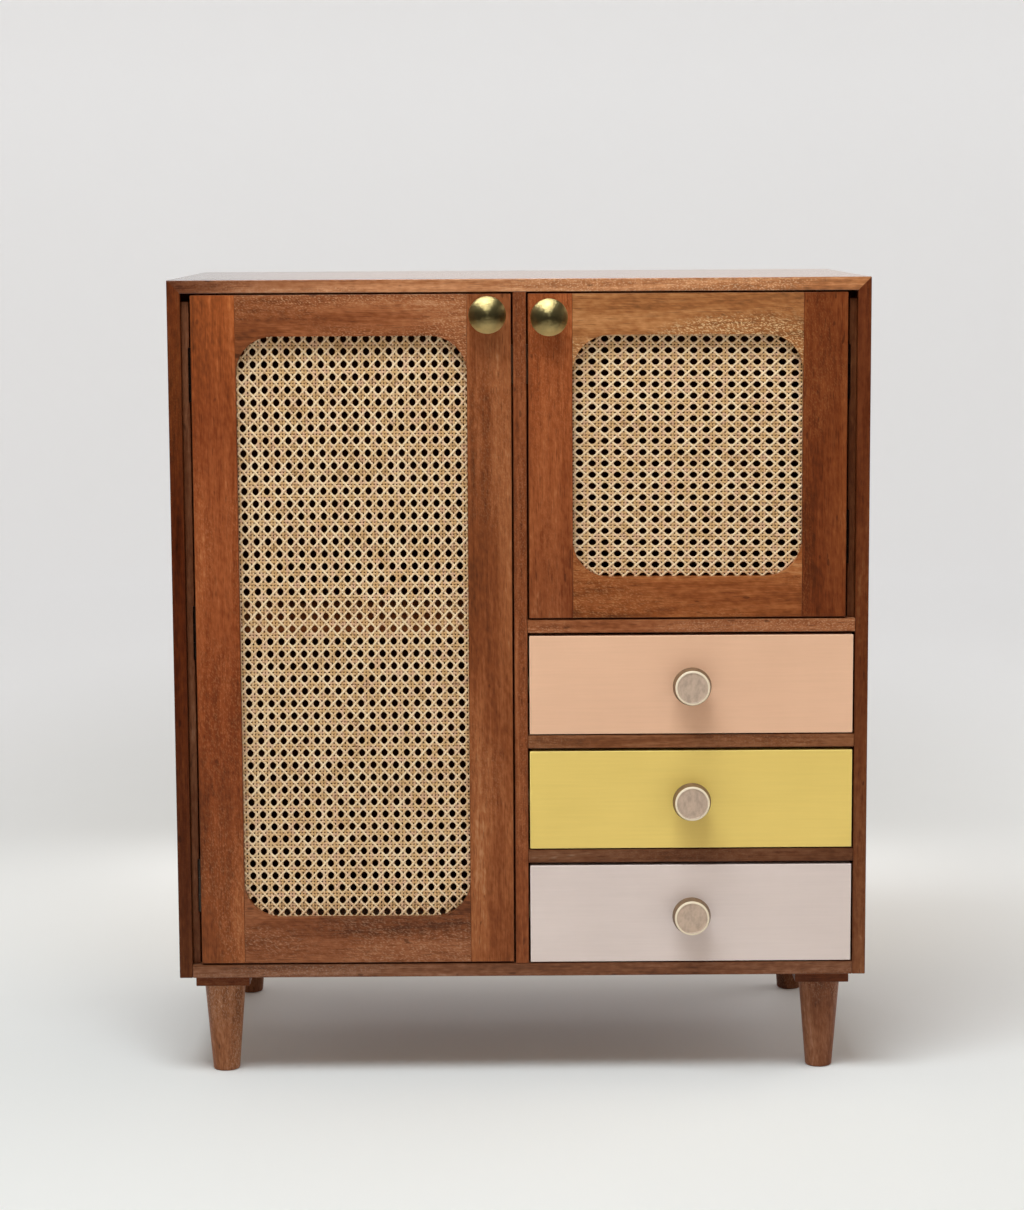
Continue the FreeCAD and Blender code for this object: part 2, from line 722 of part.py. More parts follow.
def cane_panel(door):
    """The cane sheet in its seat, and the four beads that hold it there."""
    x_outer = (door.hinge_jamb - door.towards * s.cane_rebate_width,
               door.knob_jamb + door.towards * s.cane_rebate_width)
    z_outer = (door.opening_low - s.cane_rebate_width, door.opening_high + s.cane_rebate_width)
    name = f"{door.prefix}_cane"
    subpart(name, cane_sheet(door, name, s.cane_rebate_width - s.cane_fit))
    span_y = (cane_back, door_back)
    x_window = (door.hinge_jamb, door.knob_jamb)
    beads = [block(f"{name}_bead_hinge", (x_outer[0], x_window[0]), span_y, z_outer),
             block(f"{name}_bead_knob", (x_window[1], x_outer[1]), span_y, z_outer),
             block(f"{name}_bead_low", x_window, span_y, (z_outer[0], door.opening_low)),
             block(f"{name}_bead_high", x_window, span_y, (door.opening_high, z_outer[1]))]
    set_of(f"{name}_beads", beads)


# Knobs and their screws

knob_hole_radius = s.knob_screw_diameter / 2 + s.knob_screw_fit
knob_hole_depth = s.knob_screw_in_knob + s.knob_screw_end_room


def door_knob_section():
    """Half the section of a brass mushroom knob: a neck, a thin rim and a round dome."""
    radius = s.door_knob_diameter / 2
    dome_start = s.door_knob_reach - s.door_knob_dome
    dome_radius = (radius * radius + s.door_knob_dome * s.door_knob_dome) / (2 * s.door_knob_dome)
    return [
        (knob_hole_radius, 0),
        (s.door_knob_neck_diameter / 2, 0),
        (s.door_knob_neck_diameter / 2, s.door_knob_neck_length),
        (radius, dome_start - s.door_knob_rim),
        (radius, dome_start),
        (0, s.door_knob_reach, dome_radius, 1),
        (0, knob_hole_depth),
        (knob_hole_radius, knob_hole_depth),
    ]


def drawer_knob_section():
    """Half the section of a turned drum knob: a neck, a drum that narrows forward, a dished face."""
    face_radius = s.drawer_knob_face_diameter / 2
    rim_inner = face_radius - s.drawer_knob_face_round - s.drawer_knob_rim
    return [
        (knob_hole_radius, 0),
        (s.drawer_knob_neck_diameter / 2, 0),
        (s.drawer_knob_neck_diameter / 2, s.drawer_knob_neck_length),
        (s.drawer_knob_drum_diameter / 2, s.drawer_knob_reach - s.drawer_knob_drum_depth),
        (face_radius, s.drawer_knob_reach - s.drawer_knob_face_round),
        (face_radius - s.drawer_knob_face_round, s.drawer_knob_reach, s.drawer_knob_face_round, 1),
        (rim_inner, s.drawer_knob_reach),
        (rim_inner - s.drawer_knob_dish, s.drawer_knob_reach - s.drawer_knob_dish),
        (0, s.drawer_knob_reach - s.drawer_knob_dish),
        (0, knob_hole_depth),
        (knob_hole_radius, knob_hole_depth),
    ]


def knob(prefix, section, x, z, panel_back):
    """A knob on the front face, and the screw that holds it from behind."""
    subpart(f"{prefix}_knob", turned(f"{prefix}_knob", section, "-y", x, front, z))
    name = f"{prefix}_knob_screw"
    head = rod(f"{name}_head", "y", (x, panel_back, z), s.knob_screw_head_height,
               s.knob_screw_head_diameter / 2)
    shank_length = panel_back - front + s.knob_screw_in_knob
    shank = rod(f"{name}_shank", "-y", (x, panel_back, z), shank_length, s.knob_screw_diameter / 2)
    subpart(name, fuse(name, [head, shank]))


# Magnetic catches on the partition, and their strikes on the doors

magnet_top = ceiling - s.magnet_drop
magnet_middle = magnet_top - s.magnet_height / 2
magnet_front = door_back + s.strike_thickness + s.magnet_gap
magnet_span_y = (magnet_front, magnet_front + s.magnet_depth)
magnet_span_z = (magnet_top - s.magnet_height, magnet_top)
tall_magnet_span = (partition_left - s.magnet_width, partition_left)
small_magnet_span = (partition_right, partition_right + s.magnet_width)
set_of("door_magnets", [block("tall_door_magnet", tall_magnet_span, magnet_span_y, magnet_span_z),
                        block("small_door_magnet", small_magnet_span, magnet_span_y, magnet_span_z)])


def strike(door):
    """The steel plate on the back of the knob stile that the magnet pulls."""
    near = door.free_edge - door.towards * s.strike_inset
    name = f"{door.prefix}_strike"
    subpart(name, block(name, (near, near - door.towards * s.strike_width),
                        (door_back, door_back + s.strike_thickness),
                        (magnet_middle - s.strike_height / 2, magnet_middle + s.strike_height / 2)))


for door in doors:
    hinge_stile(door)
    knob_stile(door)
    window = opening_tool(door)
    door_rail(door, "top", window)
    door_rail(door, "bottom", window)
    cane_panel(door)
    knob(door.prefix, door_knob_section(), door.knob_x, door.knob_z, door_back)
    strike(door)
    set_of(f"{door.prefix}_hinge_leaves", [
        door_leaf(f"{door.prefix}_leaf_{index}", door.pin_x, door.towards, height)
        for index, height in enumerate(door.hinge_heights)])


# Drawers on wooden runners that sit in grooves of their sides

drawer_front_back = front + s.drawer_front_thickness
drawer_rear = drawer_front_back + s.drawer_box_depth
box_left = partition_right + s.drawer_box_gap
box_right = right_inner - s.drawer_box_gap
box_inner_left = box_left + s.drawer_side_thickness
box_inner_right = box_right - s.drawer_side_thickness
side_groove = s.runner_width - s.drawer_box_gap + s.runner_side_fit


def drawer_levels(index):
    """The heights that one drawer is built from."""
    opening = floor_top + index * drawer_pitch
    front_low = opening + s.drawer_bottom_play
    box_low = front_low + s.drawer_box_lift
    bottom_low = box_low + s.drawer_bottom_lift
    return SimpleNamespace(
        front_low=front_low, front_high=opening + s.drawer_opening_height - s.drawer_top_play,
        box_low=box_low, box_high=box_low + s.drawer_box_height,
        bottom=(bottom_low, bottom_low + s.drawer_bottom_thickness),
        runner_low=box_low + (s.drawer_box_height - s.runner_height) / 2)


def drawer_side(name, level, outer, into):
    """A drawer side with a runner groove outside and a groove for the bottom inside."""
    inner = outer + into * s.drawer_side_thickness
    depth = (drawer_front_back, drawer_rear)
    through = (drawer_front_back - OVERRUN, drawer_rear + OVERRUN)
    plank = block(f"{name}_plank", (outer, inner), depth, (level.box_low, level.box_high))
    runner_bed = (level.runner_low - s.runner_under_fit,
                  level.runner_low + s.runner_height + s.runner_top_fit)
    runner_groove = block(f"{name}_runner_groove", (outer - into * OVERRUN, outer + into * side_groove),
                          through, runner_bed)
    bottom_groove = block(f"{name}_bottom_groove",
                          (inner + into * OVERRUN, inner - into * s.drawer_bottom_groove), through,
                          level.bottom)
    return cut(name, plank, [runner_groove, bottom_groove])


def drawer(prefix, index):
    """One drawer: a painted front, two sides, a back, a bottom and a knob."""
    level = drawer_levels(index)
    middle = (partition_right + right_inner) / 2
    knob_z = (level.front_low + level.front_high) / 2
    name = f"{prefix}_front"
    plank = block(f"{name}_plank", (partition_right + s.drawer_side_play, right_inner - s.drawer_side_play),
                  (front, drawer_front_back), (level.front_low, level.front_high))
    groove_span = (box_inner_left - s.drawer_bottom_groove, box_inner_right + s.drawer_bottom_groove)
    groove = block(f"{name}_groove", groove_span, (drawer_front_back - s.drawer_bottom_groove,
                                                   drawer_front_back + OVERRUN), level.bottom)
    hole = rod(f"{name}_screw_hole", "y", (middle, front - OVERRUN, knob_z),
               s.drawer_front_thickness + 2 * OVERRUN, knob_hole_radius)
    subpart(name, cut(name, plank, [groove, hole]))
    set_of(f"{prefix}_sides", [drawer_side(f"{prefix}_left_side", level, box_left, 1),
                               drawer_side(f"{prefix}_right_side", level, box_right, -1)])
    subpart(f"{prefix}_back", block(f"{prefix}_back", (box_inner_left, box_inner_right),
                                    (drawer_rear - s.drawer_back_thickness, drawer_rear),
                                    (level.bottom[1], level.box_high)))
    tuck = s.drawer_bottom_groove - s.drawer_bottom_fit
    subpart(f"{prefix}_bottom", block(f"{prefix}_bottom", (box_inner_left - tuck, box_inner_right + tuck),
                                      (drawer_front_back - tuck, drawer_rear), level.bottom))
    knob(prefix, drawer_knob_section(), middle, knob_z, drawer_front_back)


def drawer_runners(prefix, index):
    """The pair of runners that one drawer hangs on."""
    low = drawer_levels(index).runner_low
    start = drawer_front_back + s.runner_stop_gap
    span_y = (start, start + s.runner_length)
    span_z = (low, low + s.runner_height)
    left_span = (partition_right, partition_right + s.runner_width)
    right_span = (right_inner - s.runner_width, right_inner)
    return [block(f"{prefix}_left_runner", left_span, span_y, span_z),
            block(f"{prefix}_right_runner", right_span, span_y, span_z)]


runners = []
for index, level_name in enumerate(DRAWERS):
    drawer(f"{level_name}_drawer", index)
    runners += drawer_runners(f"{level_name}_drawer", index)
set_of("drawer_runners", runners)


# Recompute, check and write

doc.recompute()
for thing in doc.Objects:
    if "Invalid" in thing.State or "Error" in thing.State:
        raise RuntimeError(f"{thing.Label} failed: {thing.State}")
for piece in subparts:
    if piece.Shape.isNull() or not piece.Shape.isValid() or not piece.Shape.Solids:
        raise RuntimeError(f"{piece.Label} has no sound shape")

os.makedirs("parts", exist_ok=True)
for piece in subparts:
    piece.Shape.exportStep(f"parts/{piece.Label}.step")
print(len(subparts), "pieces,", sum(len(piece.Shape.Solids) for piece in subparts), "solids")
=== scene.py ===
import json
import math
from collections import namedtuple

import bmesh
import bpy
from mathutils import Matrix, Vector

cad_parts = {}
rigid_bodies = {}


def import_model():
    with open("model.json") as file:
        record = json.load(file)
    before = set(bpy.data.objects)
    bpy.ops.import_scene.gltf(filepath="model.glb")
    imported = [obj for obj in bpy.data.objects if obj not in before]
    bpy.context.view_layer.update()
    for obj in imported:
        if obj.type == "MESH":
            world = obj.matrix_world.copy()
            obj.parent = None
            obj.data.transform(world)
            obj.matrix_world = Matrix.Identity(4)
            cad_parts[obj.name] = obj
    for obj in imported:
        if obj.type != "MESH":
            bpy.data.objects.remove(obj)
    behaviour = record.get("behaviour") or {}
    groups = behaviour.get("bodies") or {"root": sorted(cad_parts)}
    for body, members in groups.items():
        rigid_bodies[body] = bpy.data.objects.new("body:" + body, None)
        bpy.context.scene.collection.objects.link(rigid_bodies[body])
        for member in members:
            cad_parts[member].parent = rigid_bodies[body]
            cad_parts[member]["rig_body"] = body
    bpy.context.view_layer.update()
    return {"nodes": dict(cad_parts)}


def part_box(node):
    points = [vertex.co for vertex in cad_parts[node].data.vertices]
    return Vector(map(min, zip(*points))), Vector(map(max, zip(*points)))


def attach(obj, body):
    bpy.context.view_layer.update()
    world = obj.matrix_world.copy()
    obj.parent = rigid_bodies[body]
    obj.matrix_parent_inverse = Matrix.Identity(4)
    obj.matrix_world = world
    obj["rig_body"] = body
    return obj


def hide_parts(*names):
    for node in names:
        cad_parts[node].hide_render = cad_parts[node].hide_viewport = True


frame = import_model()

bl_info = {
    "name": "Cane-door cabinet",
    "version": (1, 0, 0),
    "blender": (4, 5, 0),
    "location": "View3D > Sidebar > Cabinet",
    "description": "Dresses the cabinet: stained wood, woven cane, paint, brass and a plain studio",
    "category": "Object",
}

# Lines of the cabinet that the frame gives
front_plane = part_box("tall_door_hinge_stile")[0].y
cane_plane = sum(corner.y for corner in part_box("tall_door_cane")) / 2
DRAWERS = ("upper_drawer", "middle_drawer", "lower_drawer")
DOORS = ("tall_door", "small_door")


# Settings

def length(label, note, default, least=0):
    """A length in metres that a user can change, with a least value where it has one."""
    limits = {} if least is None else {"min": least}
    return bpy.props.FloatProperty(name=label, description=note, default=default, precision=5,
                                   unit="LENGTH", subtype="DISTANCE", **limits)


def colour(label, note, default):
    """A linear colour that a user can change."""
    return bpy.props.FloatVectorProperty(name=label, description=note, default=default, size=3, min=0,
                                         max=1, subtype="COLOR")


def share(label, note, default):
    """A plain number that a user can change."""
    return bpy.props.FloatProperty(name=label, description=note, default=default, precision=4)


def angle(label, note, degrees):
    """An angle that a user can change."""
    return bpy.props.FloatProperty(name=label, description=note, default=math.radians(degrees),
                                   unit="ROTATION", subtype="ANGLE")


class WoodSettings(bpy.types.PropertyGroup):
    """Stained and plain boards."""

    arris: length("Arris", "How far each board's long edges are eased", 0.0009)
    stave: length("Stave width", "Width of the strips that wide boards are glued from", 0.112)
    dark: colour("Dark bands", "Darkest stained wood", (0.085, 0.022, 0.006))
    middle: colour("Middle wood", "Most of the stained wood", (0.225, 0.055, 0.013))
    light: colour("Light bands", "Lighter stained wood", (0.36, 0.110, 0.032))
    gold: colour("Gold flecks", "Flecks that catch the light", (0.56, 0.260, 0.105))
    plain_dark: colour("Plain wood, dark", "Grain lines of the unstained drawer wood", (0.36, 0.22, 0.11))
    plain_light: colour("Plain wood, light", "Ground of the unstained drawer wood", (0.66, 0.48, 0.29))
    ply_dark: colour("Plywood, dark", "Figure of the plywood's face veneer", (0.40, 0.26, 0.14))
    ply_light: colour("Plywood, light", "Ground of the plywood's face veneer", (0.62, 0.46, 0.28))


class CaneSettings(bpy.types.PropertyGroup):
    """The woven cane sheets."""

    close_pitch: length("Close pitch", "Hole to hole along the webbing's close direction", 0.01279)
    wide_pitch: length("Wide pitch", "Hole to hole along the webbing's wide direction", 0.01432)
    strand: length("Strand width", "Width of one strand of a pair", 0.00245)
    diagonal: length("Diagonal width", "Width of one diagonal strand", 0.0023)
    thickness: length("Strand thickness", "Thickness of one strand", 0.0007)
    gap: length("Pair gap", "Gap between the two strands of a pair", 0.0012)
    rise: length("Pair rise", "How far a paired strand bends over or under", 0.00035)
    diagonal_rise: length("Diagonal rise", "How far a diagonal bends over or under", 0.00035)
    diagonal_lift: length("Diagonal lift", "How far the diagonals lie in front of the pairs", 0.0003)
    hidden: length("Hidden edge", "How far the weave runs on behind the door frame", 0.005)
    tall_across: length("Tall door, first hole", "From the left jamb to the first hole", 0.00776)
    tall_down: length("Tall door, top hole", "From the opening's top to the first hole", 0.00331)
    small_across: length("Small door, first hole", "From the left jamb to the first hole", 0.00788)
    small_down: length("Small door, top hole", "From the opening's top to the first hole", 0.00545)
    tall_lean: share("Tall door, lean", "How far the webbing leans to the right as it goes up", -0.0067)
    small_droop: share("Small door, droop", "How far the webbing's rows climb to the right", -0.0066)
    shade: colour("Cane, dark", "Darkest strands", (0.33, 0.175, 0.065))
    straw: colour("Cane, straw", "Most strands", (0.64, 0.385, 0.170))
    blush: colour("Cane, blush", "Pinker stretches of strands", (0.68, 0.405, 0.245))
    cream: colour("Cane, cream", "Palest strands", (0.90, 0.70, 0.45))


class PaintSettings(bpy.types.PropertyGroup):
    """Painted drawer fronts."""

    upper: colour("Upper front", "Peach paint", (0.83, 0.50, 0.325))
    middle: colour("Middle front", "Yellow paint", (0.83, 0.605, 0.155))
    lower: colour("Lower front", "Grey-pink paint", (0.735, 0.618, 0.577))


class KnobSettings(bpy.types.PropertyGroup):
    """Turned knobs."""

    door_neck: length("Door knob neck", "Radius of a brass knob's neck", 0.008)
    door_neck_length: length("Door knob neck length", "From the door to the knob's underside", 0.010)
    door_dome: length("Door knob dome", "Depth of a brass knob's dome", 0.0085)
    door_rim: length("Door knob rim", "Thickness of a brass knob's rim", 0.0015)
    drawer_neck: length("Drawer knob neck", "Radius of a drawer knob's neck", 0.011)
    drawer_neck_length: length("Drawer knob neck length", "From the front to the drum", 0.006)
    drawer_drum: length("Drawer knob drum", "Depth of a drawer knob's drum", 0.013)
    drawer_face: length("Drawer knob face", "Radius of a drawer knob's face", 0.01975)
    drawer_rim: length("Drawer knob rim", "Width of the raised rim round the face", 0.0012)
    drawer_dish: length("Drawer knob dish", "How far the face lies behind its rim", 0.0006)
    brass: colour("Brass", "Satin brass", (0.62, 0.46, 0.19))
    patina: colour("Brass patina", "Duller brass in patches", (0.47, 0.36, 0.15))
    face: colour("Knob face", "Pale wood of a drawer knob's face", (0.57, 0.42, 0.32))
    # The rim's cream is partly its own paler wood and partly a painted highlight on the raised edge.
    rim: colour("Knob rim", "Cream rim of a drawer knob", (0.86, 0.74, 0.56))
    # The drum's brown is darkened as painted shade, so that its sides read dark.
    drum: colour("Knob drum", "Wood of a drawer knob's drum", (0.24, 0.14, 0.07))


class FittingSettings(bpy.types.PropertyGroup):
    """Hinges, catches, pins, bolts and screws."""

    steel: colour("Steel", "Burnished steel", (0.10, 0.085, 0.07))
    plastic: colour("Catch plastic", "Moulded magnet cases", (0.20, 0.12, 0.075))
    screw_radius: length("Screw head radius", "Radius of a screw head", 0.0032)
    screw_height: length("Screw head height", "How far a screw head stands up", 0.0009)
    back_screw_inset: length("Back screw inset", "From the back panel's edge to its screws", 0.0045)
    back_screw_step: length("Back screw step", "About how far apart the back panel's screws are", 0.13)


class StudioSettings(bpy.types.PropertyGroup):
    """Camera, floor, wall and lights."""

    camera_x: length("Camera X", "Camera place to the right", -0.0279, None)
    camera_y: length("Camera Y", "Camera place to the back", -3.5939, None)
    camera_z: length("Camera Z", "Camera height", 0.9948)
    yaw: angle("Yaw", "Camera turn to the right", 0.304)
    pitch: angle("Pitch", "Camera tilt down", 7.465)
    roll: angle("Roll", "Camera roll", -0.303)
    lens: share("Lens", "Focal length in millimetres on a 36 mm frame", 89.47)
    floor: colour("Floor", "Pale studio floor and wall", (0.85, 0.85, 0.842))
    warm: colour("Warm light", "Colour of the light from above and from the front", (1.0, 0.83, 0.64))
    cool: colour("Cool light", "Colour of the key light", (0.88, 0.96, 1.0))
    wall: colour("Wall light", "Colour of the light from the wall behind", (0.81, 0.84, 0.91))
    wall_glow: share("Wall glow", "How much the wall behind lights the room", 0.31)
    front_glow: share("Front glow", "How much the studio's front lights the room", 0.15)
    sky: share("Sky", "Light that comes in from above", 0.25)
    key: share("Key light", "Power of the high soft light in front, in watts", 73.5)
    fill: share("Fill light", "Power of the soft light at the right, in watts", 13.0)
    rear: share("Rear light", "Power of the low light behind the cabinet, in watts", 2.5)


class CabinetSettings(bpy.types.PropertyGroup):
    """All settings of the cabinet."""

    wood: bpy.props.PointerProperty(type=WoodSettings)
    cane: bpy.props.PointerProperty(type=CaneSettings)
    paint: bpy.props.PointerProperty(type=PaintSettings)
    knobs: bpy.props.PointerProperty(type=KnobSettings)
    fittings: bpy.props.PointerProperty(type=FittingSettings)
    studio: bpy.props.PointerProperty(type=StudioSettings)


# Node trees written as expressions

def both_ways(operation):
    """The methods of one sign, for a value on its left and for a value on its right."""
    return (lambda value, other: value.graph.math(operation, value, other),
            lambda value, other: value.graph.math(operation, other, value))


class Value:
    """An output of a node tree. Each sign in an expression of values adds one Math node."""

    def __init__(self, graph, socket):
        self.graph = graph
        self.socket = socket

    __add__, __radd__ = both_ways("ADD")
    __sub__, __rsub__ = both_ways("SUBTRACT")
    __mul__, __rmul__ = both_ways("MULTIPLY")
    __truediv__, __rtruediv__ = both_ways("DIVIDE")


class Graph:
    """A node tree under construction."""

    def __init__(self, tree):
        self.tree = tree

    def node(self, kind, settings=None, inputs=None, output=0):
        """Adds one node: first its settings, then the values or links of its sockets."""
        made = self.tree.nodes.new(kind)
        for key, setting in (settings or {}).items():
            if key == "stops":
                self.fill_ramp(made.color_ramp, setting)
            elif key == "items":
                for _ in range(setting - len(made.index_switch_items)):
                    made.index_switch_items.new()
            else:
                setattr(made, key, setting)
        self.feed(made, inputs or {})
        return Value(self, made.outputs[output])

    def feed(self, node, inputs):
        """Sets a node's sockets, or links them to the outputs of others."""
        for key, given in inputs.items():
            if isinstance(given, Value):
                self.tree.links.new(given.socket, node.inputs[key])
            else:
                node.inputs[key].default_value = given

    @staticmethod
    def fill_ramp(ramp, stops):
        """Sets a colour ramp to stops of (place, colour)."""
        while len(ramp.elements) < len(stops):
            ramp.elements.new(1.0)
        for element, (place, tone) in zip(ramp.elements, stops):
            element.position = place
            element.color = (*tone, 1.0)

    def math(self, operation, *terms):
        return self.node("ShaderNodeMath", {"operation": operation}, dict(enumerate(terms)))

    def vector(self, operation, *terms, output=0):
        return self.node("ShaderNodeVectorMath", {"operation": operation}, dict(enumerate(terms)), output)

    def axis(self, vector, name):
        return self.node("ShaderNodeSeparateXYZ", None, {0: vector}, name)

    def join(self, x=0.0, y=0.0, z=0.0):
        return self.node("ShaderNodeCombineXYZ", None, {"X": x, "Y": y, "Z": z})


class Finish(Graph):
    """A material under construction."""

    def __init__(self, name):
        self.material = bpy.data.materials.new(name)
        self.material.use_nodes = True
        super().__init__(self.material.node_tree)
        self.shader = self.tree.nodes["Principled BSDF"]

    def surface(self, inputs):
        """Sets or links the shader's sockets, which ends the material."""
        self.feed(self.shader, inputs)
        return self.material

    def place(self):
        return self.node("ShaderNodeTexCoord", output="Object")

    def attribute(self, name, output="Fac"):
        return self.node("ShaderNodeAttribute", {"attribute_name": name}, output=output)

    def noise(self, vector, scale, detail=2.0, roughness=0.5, distortion=0.0):
        """Noise on a vector that is stretched by three scales."""
        stretched = self.vector("MULTIPLY", vector, scale)
        return self.node("ShaderNodeTexNoise", None, {
            "Vector": stretched, "Scale": 1.0, "Detail": detail, "Roughness": roughness,
            "Distortion": distortion})

    def rise(self, value, start, end):
        """0 below start and 1 above end, with a smooth slope between."""
        return self.node("ShaderNodeMapRange", {"interpolation_type": "SMOOTHSTEP"},
                         {"Value": value, "From Min": start, "From Max": end})

    def ramp(self, value, stops):
        return self.node("ShaderNodeValToRGB", {"stops": stops}, {0: value})

    def mix(self, factor, first, second, kind="MIX"):
        """One colour laid over another."""
        pair = [given if isinstance(given, Value) else (*given, 1.0) for given in (first, second)]
        return self.node("ShaderNodeMix", {"data_type": "RGBA", "blend_type": kind, "clamp_result": True},
                         {0: factor, 6: pair[0], 7: pair[1]}, 2)

    def bump(self, height, strength, distance):
        return self.node("ShaderNodeBump", None,
                         {"Strength": strength, "Distance": distance, "Height": height})


class Recipe(Graph):
    """A Geometry Nodes tree under construction, with named inputs."""

    def __init__(self, name):
        super().__init__(bpy.data.node_groups.new(name, "GeometryNodeTree"))
        self.tree.interface.new_socket("Geometry", in_out="INPUT", socket_type="NodeSocketGeometry")
        self.tree.interface.new_socket("Geometry", in_out="OUTPUT", socket_type="NodeSocketGeometry")
        self.entry = self.tree.nodes.new("NodeGroupInput")
        self.identifiers = {}

    def input(self, name, kind="Float"):
        socket = self.tree.interface.new_socket(name, in_out="INPUT", socket_type=f"NodeSocket{kind}")
        self.identifiers[name] = socket.identifier
        return Value(self, self.entry.outputs[name])

    def start(self):
        return Value(self, self.entry.outputs["Geometry"])

    def union(self, first, second):
        """Two geometries as one."""
        joined = self.node("GeometryNodeJoinGeometry", None, {0: first})
        self.tree.links.new(second.socket, joined.socket.node.inputs[0])
        return joined

    def close(self, geometry, material):
        """Realizes what was instanced, gives it its material and ends the tree."""
        realized = self.node("GeometryNodeRealizeInstances", None, {0: geometry})
        dressed = self.node("GeometryNodeSetMaterial", None, {"Geometry": realized, "Material": material})
        exit_node = self.tree.nodes.new("NodeGroupOutput")
        self.tree.links.new(dressed.socket, exit_node.inputs[0])
        return self

    def grow(self, name, values, mesh=None):
        """Runs the tree with its inputs set, and returns the result as an object with a plain mesh."""
        piece = add_piece(name, mesh or bpy.data.meshes.new(name))
        modifier = piece.modifiers.new(self.tree.name, "NODES")
        modifier.node_group = self.tree
        for label, value in values.items():
            modifier[self.identifiers[label]] = value
        evaluated = piece.evaluated_get(bpy.context.evaluated_depsgraph_get())
        grown = bpy.data.meshes.new_from_object(evaluated)
        piece.modifiers.clear()
        piece.data = grown
        return piece


# Finishes

FIGURE_SLANT = 0.7


def wood_finish(name, palette, fleck, stave, pores, rough):
    """Wood that follows each board's own grain: bands, rings, streaks, ripple, flecks and pores."""
    finish = Finish(name)
    grain = finish.attribute("grain", "Vector")
    strip = finish.math("FLOOR", finish.axis(grain, "Y") / stave)
    shift = finish.node("ShaderNodeTexWhiteNoise", {"noise_dimensions": "1D"}, {"W": strip}, "Color")
    place = finish.vector("ADD", grain, finish.vector("MULTIPLY", shift, (3.0, 0.4, 0.4)))
    bands = finish.noise(place, (1.7, 17.0, 17.0), 3.0, 0.5, 0.7)
    wander = finish.noise(place, (2.6, 13.0, 13.0))
    section = finish.vector("MULTIPLY", place, (0.0, 1.0, 1.0))
    from_heart = finish.vector("LENGTH", section, output="Value")
    rings_at = finish.join(finish.axis(place, "X") * 0.8, (from_heart + wander * 0.045) * 150.0)
    rings = finish.noise(rings_at, (1.0, 1.0, 1.0), 2.0)
    streaks = finish.noise(place, (7.0, 130.0, 130.0), 4.0, 0.6)
    fibres = finish.noise(place, (32.0, 800.0, 800.0), 3.0, 0.65)
    slanted = finish.vector("ADD", place, finish.join(finish.axis(place, "Y") * FIGURE_SLANT))
    ripple = finish.noise(slanted, (110.0, 260.0, 260.0), 2.0)
    tone = (0.5 + (bands - 0.5) * 0.7 + (rings - 0.5) * 0.3 + (streaks - 0.5) * 0.38
            + (fibres - 0.5) * 0.32 + (ripple - 0.5) * 0.36)
    base = finish.ramp(tone, palette)
    dashes = finish.rise(finish.noise(slanted, (400.0, 640.0, 640.0), 1.0), 0.48, 0.70)
    patches = finish.rise(finish.noise(place, (5.0, 16.0, 16.0), 1.0), 0.44, 0.60)
    flecked = finish.mix(dashes * patches * finish.attribute("figure") * 0.75, base, fleck)
    open_pores = finish.rise(finish.noise(place, (55.0, 1300.0, 1300.0), 1.0), 0.60, 0.74)
    pin_knots = finish.rise(finish.noise(place, (70.0, 170.0, 170.0), 0.0), 0.80, 0.86)
    pored = finish.mix(finish.math("MAXIMUM", open_pores, pin_knots) * pores, flecked, palette[0][1])
    tinted = finish.mix(1.0, pored, finish.attribute("tint", "Vector"), "MULTIPLY")
    # The eased edges are darkened: the dark joint lines between boards, and partly painted shade in their
    # grooves.
    eased = finish.mix(finish.attribute("arris") * 0.3, tinted, palette[0][1])
    height = fibres * 0.5 + streaks * 0.4 - open_pores
    return finish.surface({
        "Base Color": eased,
        "Roughness": rough + (streaks - 0.5) * 0.25 + open_pores * 0.15,
        "Specular IOR Level": 0.12,
        "Coat Weight": finish.attribute("polish"),
        "Coat Roughness": 0.13,
        "Normal": finish.bump(height, 0.25, 0.0004),
    })


def stained_wood():
    wood = bpy.context.scene.cabinet.wood
    palette = [(0.24, wood.dark), (0.46, wood.middle), (0.66, wood.light), (0.84, wood.gold)]
    return wood_finish("stained_wood", palette, wood.gold, wood.stave, 0.65, 0.42)


def plain_wood():
    wood = bpy.context.scene.cabinet.wood
    palette = [(0.22, wood.plain_dark), (0.62, wood.plain_light)]
    return wood_finish("plain_wood", palette, wood.plain_light, wood.stave, 0.4, 0.58)


def plywood():
    wood = bpy.context.scene.cabinet.wood
    palette = [(0.25, wood.ply_dark), (0.60, wood.ply_light)]
    return wood_finish("plywood", palette, wood.ply_light, 3 * wood.stave, 0.3, 0.62)


def paint(name, tone):
    """Satin paint on wood: faint brush marks, a slight mottle, and a painted highlight that makes the
    eased edges paler.
    """
    finish = Finish(name)
    place = finish.place()
    brush = finish.noise(place, (14.0, 300.0, 420.0), 4.0, 0.6)
    mottle = finish.noise(place, (9.0, 9.0, 9.0), 3.0)
    specks = finish.noise(place, (900.0, 900.0, 900.0), 2.0)
    deep = [part * 0.86 for part in tone]
    pale = [min(1.0, part * 1.06 + 0.02) for part in tone]
    base = finish.ramp(0.5 + (mottle - 0.5) * 0.35 + (brush - 0.5) * 0.22, [(0.25, deep), (0.75, pale)])
    # Painted highlight: the eased edges are made paler, as where they catch the light.
    edge_highlight = [min(1.0, part * 1.15 + 0.1) for part in tone]
    layered = finish.mix(finish.attribute("arris") * 0.55, base, edge_highlight)
    return finish.surface({
        "Base Color": layered,
        "Roughness": 0.46 + (brush - 0.5) * 0.2 + (specks - 0.5) * 0.08,
        "Specular IOR Level": 0.3,
        "Normal": finish.bump(brush * 0.7 + specks * 0.3, 0.05, 0.0002),
    })


